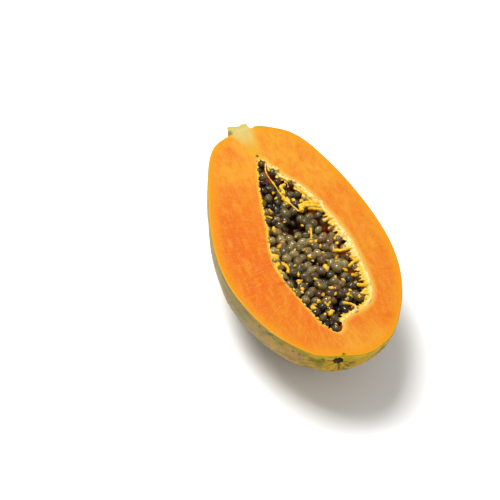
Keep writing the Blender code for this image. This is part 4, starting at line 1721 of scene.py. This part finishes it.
    def shapes(self, shape: tuple[int, int, float, int], shift: float) -> list[tuple[Array, Array]]:
        """Make the bumpy forms that the seeds are picked from.

        Args:
            shape: points round, rings, bumpiness, and how many there are.
            shift: the step of the first one through the noise.

        Returns:
            The points and faces of each.
        """
        sides, rings, rough, count = shape
        return [self.template(sides, rings, shift + 3.0 * k, rough) for k in range(count)]

    def build(self) -> bpy.types.Object:
        """Make every seed as a dark core in a sac of jelly."""
        draw = random.Random(self.top.draw + 1)
        sacs, cores = self.shapes(self.sac_shape, 0.0), self.shapes(self.core_shape, 50.0)
        parts = MeshParts()
        for layer in (self.top, *self.lower):
            on_top = layer is self.top
            centres, radii = (self.centres, self.radii) if on_top else self.place(layer)
            hidden = (centres[:, 1] > self.lower_end) & (not on_top)
            if layer is self.lower[0]:
                hidden |= self.in_hollow(centres)
            for centre, radius in zip(centres[~hidden], radii[~hidden]):
                spin = np.array(Quaternion([draw.gauss(0, 1) for _ in range(4)]).normalized().to_matrix())
                look = self.look(draw, layer, centre)
                points, faces = sacs[draw.randrange(len(sacs))]
                parts.add(centre + points @ spin.T * radius, faces, SeedShell.SAC, **look)
                points, faces = cores[draw.randrange(len(cores))]
                middle = centre + spin @ np.array((0, 0, self.core_shift * radius))
                core = middle + points @ spin.T * radius * self.core_size
                parts.add(core, faces, SeedShell.COAT, **look)
        made = parts.build("papaya_seeds", self.fruit.cut_height)
        for finish in (SeedSacFinish(), SeedCoatFinish()):
            made.data.materials.append(finish.build())
        return made

    def look(self, draw: random.Random, layer: SeedLayer, centre: Array) -> dict[str, float]:
        """Draw how one seed looks.

        Args:
            draw: the random numbers.
            layer: the layer that it is in.
            centre: where it is.

        Returns:
            How pale its jelly is, darker on the lower layers as painted shade, how amber, and how wet.
        """
        x, y = centre[:2] / MM
        mid_heap = math.exp(-(((y + 6) / 34) ** 2))
        tone = min(max(0.15 + 0.60 * mid_heap + draw.uniform(-0.40, 0.30), 0.0), 1)
        glow = max(math.exp(-(math.dist((x, y), spot) ** 2) / 16) for spot in self.amber_spots_mm)
        warm = max(draw.uniform(-2.4, 0.7), 0.85 * glow, 0)
        # The layer's share darkens the lower seeds: painted shade
        return {"tone": tone * layer.tone, "warm": warm, "wet": layer.wet}


@dataclass
class Placenta:
    """The yellow pulp at the mouth of the cavity, with threads and blobs over the seeds."""

    fruit: Fruit
    seeds: Seeds
    tongue_count: int = 190
    fibre_count: int = 66
    lump_count: int = 190
    scrap_count: int = 54
    voxel: float = 0.24 * MM
    draw: int = 5
    around: int = 720
    # Highest that tongues and threads stand over the cut plane
    tongue_top: float = 1.0 * MM
    thread_top: float = 1.4 * MM
    # Spacing of the points of a thread, and how many neighbours even out its height
    thread_step: float = 0.9 * MM
    highest_of: int = 11
    mean_of: int = 9
    # Cross-section of the lining: share of its width, and height in units of lining_unit
    lining_section: tuple[tuple[float, float], ...] = (
        (-0.25, 0.12), (0.3, 0.0), (0.65, -0.1), (1.0, -0.5), (0.95, -1.0), (0.4, -1.1), (-0.25, -1.2),
    )  # fmt: skip
    lining_unit: float = 0.8 * MM
    lining_drop: float = 0.22 * MM
    # Share of its width by which the lining reaches back into the flesh
    lining_root: float = 0.1
    # First and last place round the mouth of each kind of pulp
    right_lining: tuple[int, int] = (14, 352)
    left_lining: tuple[int, int] = (356, 712)
    tongue_places: tuple[int, int] = (30, 345)
    fibre_places: tuple[int, int] = (40, 330)
    fibre_end: int = 350
    lump_places: tuple[int, int] = (352, 716)
    # Pale pulp lies along every second one of these places, and reaches farthest in at one y
    pale_places: tuple[int, int, int] = (20, 352, 2)
    palest_y: float = -10 * MM
    pale_spread: float = 11 * MM
    pale_reach: float = 2.2 * MM
    # Long threads and folds: radius, then the points that they pass over
    threads_mm: tuple[tuple[float, tuple[tuple[float, float], ...]], ...] = (
        (0.36, ((0.4, 56.0), (-1.4, 49.5), (-0.6, 41.4), (1.0, 32.6), (4.8, 24.0), (7.6, 17.4))),
        (1.00, ((6.4, 38.6), (3.4, 37.0), (3.5, 33.6), (2.6, 31.4))),
        (1.10, ((2.4, 30.0), (3.6, 27.6), (5.2, 26.4))),
        (1.25, ((23.6, 20.5), (18.5, 21.8), (12.7, 21.6), (8.2, 20.4))),
        (1.05, ((24.6, 16.0), (19.4, 18.6), (14.0, 20.0), (9.8, 19.2), (8.8, 16.6))),
        (0.80, ((25.4, 13.0), (21.7, 15.9), (17.8, 17.8), (13.3, 19.0))),
        (0.90, ((25.6, 8.6), (21.6, 8.4), (18.4, 7.1))),
        (0.55, ((9.9, 4.4), (9.2, 1.6), (7.5, -3.1))),
        (0.95, ((28.0, -14.0), (22.0, -14.5), (17.4, -12.8))),
        (0.85, ((28.4, -24.0), (24.4, -25.4), (20.6, -27.6))),
        (1.00, ((28.8, -31.0), (25.6, -31.4), (22.0, -30.4))),
        (0.95, ((28.0, -41.6), (24.4, -42.2), (20.4, -41.0))),
        (0.90, ((-14.6, -14.0), (-13.2, -18.0), (-13.2, -21.0), (-14.6, -23.4))),
        (0.50, ((-16.2, 20.0), (-14.7, 19.8), (-11.6, 18.6), (-9.3, 16.4))),
        (0.80, ((13.6, -57.6), (11.6, -54.4), (8.0, -52.4))),
        (1.00, ((18.6, -56.4), (15.8, -55.2), (14.2, -52.4))),
    )  # fmt: skip
    # Fat lumps between the seeds: x, y, size
    blobs_mm: tuple[tuple[float, float, float], ...] = (
        (-15.6, -10.0, 4.4), (-18.2, -12.4, 3.6), (-14.0, -15.4, 4.0), (-18.6, -17.6, 3.4),
        (-18.8, -22.2, 3.8), (3.4, 37.2, 2.6), (6.2, 38.8, 2.4), (4.2, 27.6, 4.4), (3.0, 31.8, 3.0),
        (8.2, 28.0, 2.6), (16.0, 30.0, 3.0),
        (-1.3, 31.6, 2.2), (-11.3, 8.3, 3.4), (-15.3, 7.8, 2.8), (-10.8, -1.5, 3.2), (-17.6, -1.8, 3.0),
        (7.4, -4.0, 2.6), (8.9, -23.9, 4.4), (-8.8, -29.3, 3.4), (-13.9, -15.6, 3.2), (15.9, -33.5, 2.4),
        (-0.8, -43.3, 2.4), (-9.8, -35.5, 2.4), (14.2, -45.0, 2.6), (5.6, -39.4, 2.2), (-4.2, -46.3, 2.4),
        (-15.4, -43.1, 2.8), (-8.6, -49.8, 3.4), (-0.9, -56.0, 3.2), (-4.7, -56.7, 2.2), (-1.4, -64.6, 1.6),
        (19.5, -27.3, 2.6), (13.0, 26.5, 3.0), (17.4, 29.2, 2.4), (-14.0, 25.6, 2.0), (21.0, 2.6, 2.0),
        (2.0, -15.0, 1.8), (11.6, -12.6, 1.8), (-4.6, -8.4, 1.6), (18.4, -49.8, 2.0), (-13.2, 33.6, 1.8),
    )  # fmt: skip

    def __post_init__(self) -> None:
        """Walk round the mouth of the cavity."""
        self.mouth, self.inward = self.fruit.mouth_places(self.around)

    def tube(self, parts: MeshParts, points: Array, radii: Array, sides: int = 7) -> None:
        """Add a thread through points, with its own radius at each.

        Args:
            parts: the mesh that it joins.
            points: rows of x, y and z.
            radii: one for each point.
            sides: points round it.
        """
        rings = []
        angle = np.linspace(0, 2 * math.pi, sides, endpoint=False)
        for i, (point, radius) in enumerate(zip(points, radii)):
            ahead = points[min(i + 1, len(points) - 1)] - points[max(i - 1, 0)]
            turn = np.array(Vector(ahead).to_track_quat("Z", "Y").to_matrix())
            ring = np.column_stack([np.cos(angle), np.sin(angle), 0 * angle]) * radius
            rings.append(point + ring @ turn.T)
        self.sweep(parts, np.array(rings))

    @staticmethod
    def sweep(parts: MeshParts, grid: Array) -> None:
        """Add a closed run of rings with both ends filled.

        Args:
            parts: the mesh that it joins.
            grid: the rings.
        """
        start, sides = parts.count, grid.shape[1]
        parts.add(grid.reshape(-1, 3), grid_faces(len(grid), sides))
        parts.cap(grid[0].mean(0), start, sides, True)
        parts.cap(grid[-1].mean(0), start + (len(grid) - 1) * sides, sides, False)

    def lining(self, parts: MeshParts, first: int, last: int, width: float, fall: float) -> None:
        """Add a ragged sloping band of pulp along the mouth.

        Args:
            parts: the mesh that it joins.
            first: where it starts round the mouth.
            last: where it ends.
            width: how far it reaches over the seeds.
            fall: how steeply it drops.
        """
        rows = np.arange(first, last)
        mouth, inward = self.mouth[rows], self.inward[rows]
        place = np.column_stack([mouth, np.zeros(len(rows))])
        ragged = 1 + 0.9 * bumps(place, 2.2 * MM, 3, 1.0) + 0.5 * bumps(place, 7 * MM, 2, 5.0)
        half = self.fruit.fine_cavity.section(mouth[:, 1])[1]
        ends = ease(np.minimum(rows - first, last - rows), 0, 12)
        reach = np.minimum(width * ragged, half * 0.55) * (0.25 + 0.75 * ends)
        rings = []
        for share, rise in self.lining_section:
            plan = mouth + inward * (max(share, -self.lining_root) * reach)[:, None]
            height = rise * self.lining_unit - fall * max(share, 0) * reach - self.lining_drop
            rings.append(np.column_stack([plan, height]))
        self.sweep(parts, np.stack(rings, axis=1))

    def strand(
        self,
        parts: MeshParts,
        draw: random.Random,
        i: int,
        length: float,
        radius: float,
        fall: float,
        start: float = -0.55 * MM,
    ) -> None:
        """Add one tapered tongue that reaches from the mouth over the seeds.

        Args:
            parts: the mesh that it joins.
            draw: the random numbers.
            i: where it starts round the mouth.
            length: how far it reaches.
            radius: how thick it is.
            fall: how far its tip drops.
            start: height of its root over the cut plane.
        """
        yaw = draw.uniform(-0.55, 0.55)
        turn = np.array(((math.cos(yaw), -math.sin(yaw)), (math.sin(yaw), math.cos(yaw))))
        way = turn @ self.inward[i]
        run = np.linspace(0, 1, 6)
        plan = self.mouth[i] + way * (run[:, None] * length)
        drop = start - 0.4 * radius - fall * run
        lies = [self.seeds.cover(x, y, radius * 0.5) - 0.5 * radius for x, y in plan]
        height = np.where(run < 0.3, drop, np.maximum(drop, np.minimum(lies, self.tongue_top)))
        swell = radius * (1 + 0.25 * np.sin(run * 5 + yaw)) * np.sqrt(1.04 - run**3)
        self.tube(parts, np.column_stack([plan, height]), swell)

    def tongues(self, parts: MeshParts, draw: random.Random) -> None:
        """Add clumps of tongues along the right-hand mouth, and the fibres between them.

        Args:
            parts: the mesh that they join.
            draw: the random numbers.
        """
        clumps = bumps(np.column_stack([self.mouth, np.zeros(self.around)]), 5 * MM, 2, 17.0)
        for _ in range(self.tongue_count):
            i = draw.randrange(*self.tongue_places)
            if clumps[i] < draw.uniform(-0.25, 0.10):
                continue
            wide = math.exp(-(((self.mouth[i, 1] / MM + 18) / 36) ** 4))
            length = (1.6 + draw.uniform(0.6, 5.6) * wide) * MM
            thick = draw.choice((0.5, 0.8, 1.1, 1.5)) * draw.uniform(0.8, 1.15) * MM
            self.strand(parts, draw, i, length, thick, draw.uniform(0.2, 2.0) * MM)
        for _ in range(self.fibre_count):
            i = draw.randrange(*self.fibre_places)
            span = draw.randrange(8, 26)
            rows = np.linspace(i, min(i + span, self.fibre_end), 7).astype(int)
            inset = draw.uniform(0.2, 2.4) * MM + np.linspace(0, draw.uniform(-1.2, 1.2), 7) * MM
            plan = self.mouth[rows] + self.inward[rows] * np.maximum(inset, 0.1 * MM)[:, None]
            height = draw.uniform(-0.1, 0.25) * MM - 0.3 * np.maximum(inset, 0)
            self.tube(parts, np.column_stack([plan, height]), np.full(7, draw.uniform(0.22, 0.36) * MM), 6)

    def lumps(self, parts: MeshParts, draw: random.Random) -> None:
        """Add short lumps along the left-hand mouth, fewer at its lower end.

        Args:
            parts: the mesh that they join.
            draw: the random numbers.
        """
        for _ in range(self.lump_count):
            i = draw.randrange(*self.lump_places)
            length = draw.uniform(0.3, 2.0) * MM
            if self.mouth[i, 1] < -28 * MM and draw.random() < 0.6:
                continue
            radius = draw.uniform(0.4, 0.95) * MM
            self.strand(parts, draw, i, length, radius, draw.uniform(0.0, 0.8) * MM, 0.1 * MM)

    def threads(self, parts: MeshParts, draw: random.Random) -> None:
        """Add the long threads, each taut over the tops of the seeds.

        Args:
            parts: the mesh that they join.
            draw: the random numbers.
        """
        for radius, corners in self.threads_mm:
            path = self.route(np.array(corners) * MM, self.thread_step)
            height = np.array([self.seeds.cover(x, y, radius * MM * 0.5) for x, y in path])
            near = np.pad(height, self.highest_of // 2, mode="edge")
            height = np.max([near[k : k + len(height)] for k in range(self.highest_of)], axis=0)
            near = np.pad(height, self.mean_of // 2, mode="edge")
            height = np.convolve(near, np.ones(self.mean_of) / self.mean_of, mode="valid")
            swell = np.array([1 + 0.6 * max(draw.uniform(-0.8, 0.8), 0) for _ in path])
            swell = np.convolve(np.pad(swell, 1, mode="edge"), (0.25, 0.5, 0.25), mode="valid")
            points = np.column_stack([path, np.minimum(height, self.thread_top)])
            self.tube(parts, points, radius * MM * swell, 8)

    def scraps(self, parts: MeshParts, draw: random.Random) -> None:
        """Add the fat lumps and the small scraps of pulp between the seeds.

        Args:
            parts: the mesh that they join.
            draw: the random numbers.
        """
        for x, y, size in np.array(self.blobs_mm) * MM:
            self.blob(parts, draw, x, y, size / 2, 0.9)
        for _ in range(self.scrap_count):
            i = draw.randrange(len(self.seeds.centres))
            turn = draw.uniform(0, 2 * math.pi)
            way = np.array((math.cos(turn), math.sin(turn)))
            x, y = self.seeds.centres[i, :2] + self.seeds.radii[i] * way
            self.blob(parts, draw, x, y, draw.uniform(0.7, 1.3) * MM, 1.7)

    def blob(
        self, parts: MeshParts, draw: random.Random, x: float, y: float, radius: float, sunk: float
    ) -> None:
        """Add an uneven lump of pulp between the seeds.

        Args:
            parts: the mesh that it joins.
            draw: the random numbers.
            x: where it is.
            y: where it is.
            radius: about half its size.
            sunk: how deep it sits between the seeds, in radii.
        """
        base = np.array((x, y, self.seeds.cover(x, y, radius * 0.5) - sunk * radius))
        for _ in range(3):
            turn = draw.uniform(0, 2 * math.pi)
            way = np.array((math.cos(turn), math.sin(turn), draw.uniform(-0.5, 0.2)))
            steps = np.linspace(-1, 1, 7)[:, None]
            middle = base + way[[1, 0, 2]] * radius * draw.uniform(-0.4, 0.4)
            reach = radius * draw.uniform(0.7, 1.5)
            swell = radius * draw.uniform(0.4, 0.8) * np.sqrt(1.05 - steps[:, 0] ** 2)
            self.tube(parts, middle + steps * way * reach, swell, 8)

    @staticmethod
    def route(corners: Array, step: float) -> Array:
        """Lay points along a smooth curve through its corners.

        Args:
            corners: where it passes.
            step: about how far apart the points are.

        Returns:
            The points.
        """
        ends = [2 * corners[0] - corners[1], *corners, 2 * corners[-1] - corners[-2]]
        points = []
        for a, b, c, d in zip(ends, ends[1:], ends[2:], ends[3:]):
            count = max(2, round(math.dist(b, c) / step))
            for t in np.arange(count) / count:
                bend = (2 * a - 5 * b + 4 * c - d) * t**2 + (3 * b - a - 3 * c + d) * t**3
                points.append((2 * b + (c - a) * t + bend) / 2)
        return np.array([*points, corners[-1]])

    def melt(self, made: bpy.types.Object) -> None:
        """Fuse the strands into one wet mass, and mark where it is pale and where it is deep.

        Args:
            made: the object of the loose strands.
        """
        fuse = made.modifiers.new("fuse", "REMESH")
        fuse.mode = "VOXEL"
        fuse.voxel_size = self.voxel
        fuse.use_smooth_shade = True
        soften = made.modifiers.new("soften", "SMOOTH")
        soften.factor = 0.5
        soften.iterations = 3
        graph = bpy.context.evaluated_depsgraph_get()
        mesh = bpy.data.meshes.new_from_object(made.evaluated_get(graph))
        made.modifiers.clear()
        made.data = mesh
        spots = np.empty(len(mesh.vertices) * 3)
        mesh.vertices.foreach_get("co", spots)
        spots = spots.reshape(-1, 3)
        normals = np.empty(len(mesh.vertices) * 3)
        mesh.vertex_normals.foreach_get("vector", normals)
        swell = 0.30 * MM * bumps(spots, 1.5 * MM, 2, 21.0) + 0.35 * MM * bumps(spots, 4 * MM, 1, 31.0)
        spots += normals.reshape(-1, 3) * swell[:, None]
        mesh.vertices.foreach_set("co", spots.ravel())
        gap = np.full(len(spots), np.inf)
        for x, y in self.mouth[slice(*self.pale_places)]:
            gap = np.minimum(gap, np.hypot(spots[:, 0] - x, spots[:, 1] - y))
        reach = self.pale_reach * np.exp(-(((spots[:, 1] - self.palest_y) / self.pale_spread) ** 2))
        pale = 1 - ease(gap - reach, 0.6 * MM, 2.6 * MM)
        deep = ease(self.fruit.cut_height - spots[:, 2], 3.0 * MM, 7.0 * MM)
        for key, value in (("pale", pale), ("deep", deep)):
            layer = mesh.attributes.new(key, "FLOAT", "POINT")
            layer.data.foreach_set("value", value.astype(np.float32))

    def build(self) -> bpy.types.Object:
        """Make the pulp as one wet mass."""
        parts = MeshParts()
        self.lining(parts, *self.right_lining, 3.4 * MM, 0.34)
        self.lining(parts, *self.left_lining, 1.0 * MM, 0.30)
        draw = random.Random(self.draw)
        for add in (self.tongues, self.lumps, self.threads, self.scraps):
            add(parts, draw)
        made = parts.build("papaya_placenta", self.fruit.cut_height)
        self.melt(made)
        made.data.materials.append(PulpFinish().build())
        return made


@dataclass
class Studio:
    """White table, soft lights and the camera."""

    table_side: float = 6.0
    sky_strength: float = 0.48
    key_power: float = 35.2
    key_place: tuple[float, float, float] = (-0.48, 0.49, 1.45)
    key_size: float = 0.8
    fill_power: float = 4.0
    fill_place: tuple[float, float, float] = (1.2, -0.9, 0.9)
    fill_size: float = 1.4
    lens: float = 139.0
    camera_place: tuple[float, float, float] = (-0.3848, -0.6251, 0.8631)
    aim: tuple[float, float, float] = (-0.03064, -0.00449, 0.0505)
    roll: float = math.radians(13.38)

    def table(self) -> bpy.types.Object:
        """Lay the table top under the fruit."""
        parts = MeshParts()
        corners = np.array([(-1, -1, 0), (1, -1, 0), (1, 1, 0), (-1, 1, 0)]) * self.table_side / 2
        parts.add(corners, np.array([[0, 1, 2, 3]]))
        made = parts.build("table_top")
        made.data.materials.append(TableFinish().build())
        return made

    def light(self, name: str, place: Sequence[float], size: float, power: float) -> None:
        """Hang a square softbox that points at the fruit.

        Args:
            name: its name.
            place: where it hangs.
            size: its side.
            power: its power in watts.
        """
        data = bpy.data.lights.new(name, "AREA")
        data.size = size
        data.energy = power
        lamp = bpy.data.objects.new(name, data)
        lamp.location = place
        lamp.rotation_euler = (-Vector(place)).to_track_quat("-Z", "Y").to_euler()
        bpy.context.scene.collection.objects.link(lamp)

    def build(self) -> None:
        """Set the table, the lights, the sky and the camera."""
        self.table()
        self.light("key_softbox", self.key_place, self.key_size, self.key_power)
        self.light("fill_softbox", self.fill_place, self.fill_size, self.fill_power)
        world = bpy.data.worlds.new("white_room")
        world.use_nodes = True
        sky = world.node_tree.nodes["Background"]
        sky.inputs["Color"].default_value = (1, 1, 1, 1)
        sky.inputs["Strength"].default_value = self.sky_strength
        bpy.context.scene.world = world
        bpy.context.scene.view_settings.view_transform = "Standard"
        data = bpy.data.cameras.new("camera")
        data.lens = self.lens
        camera = bpy.data.objects.new("camera", data)
        bpy.context.scene.collection.objects.link(camera)
        place = Vector(self.camera_place)
        camera.location = place
        look = (Vector(self.aim) - place).to_track_quat("-Z", "Y")
        camera.rotation_euler = (look @ Quaternion((0, 0, 1), self.roll)).to_euler()
        bpy.context.scene.camera = camera


def report(piece: bpy.types.Object, node: str) -> None:
    """Tie a piece to the frame and say so.

    Args:
        piece: the finished piece.
        node: the CAD node that it stands for.
    """
    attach(piece, BODY)
    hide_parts(node)
    LOG.info("%s: %d faces", piece.name, len(piece.data.polygons))


def main() -> None:
    """Build every piece, then the studio."""
    logging.basicConfig(level=logging.INFO, format="%(message)s")
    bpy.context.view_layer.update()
    fruit = Fruit()
    seeds = Seeds(fruit)
    report(fruit.build(), "fruit_half")
    report(Stalk().build(fruit.cut_height), "fruit_half")
    report(Scar().build(fruit), "fruit_half")
    report(seeds.build(), "seeds")
    report(Placenta(fruit, seeds).build(), "placenta")
    Studio().build()
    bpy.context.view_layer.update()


if __name__ == "__main__":
    main()
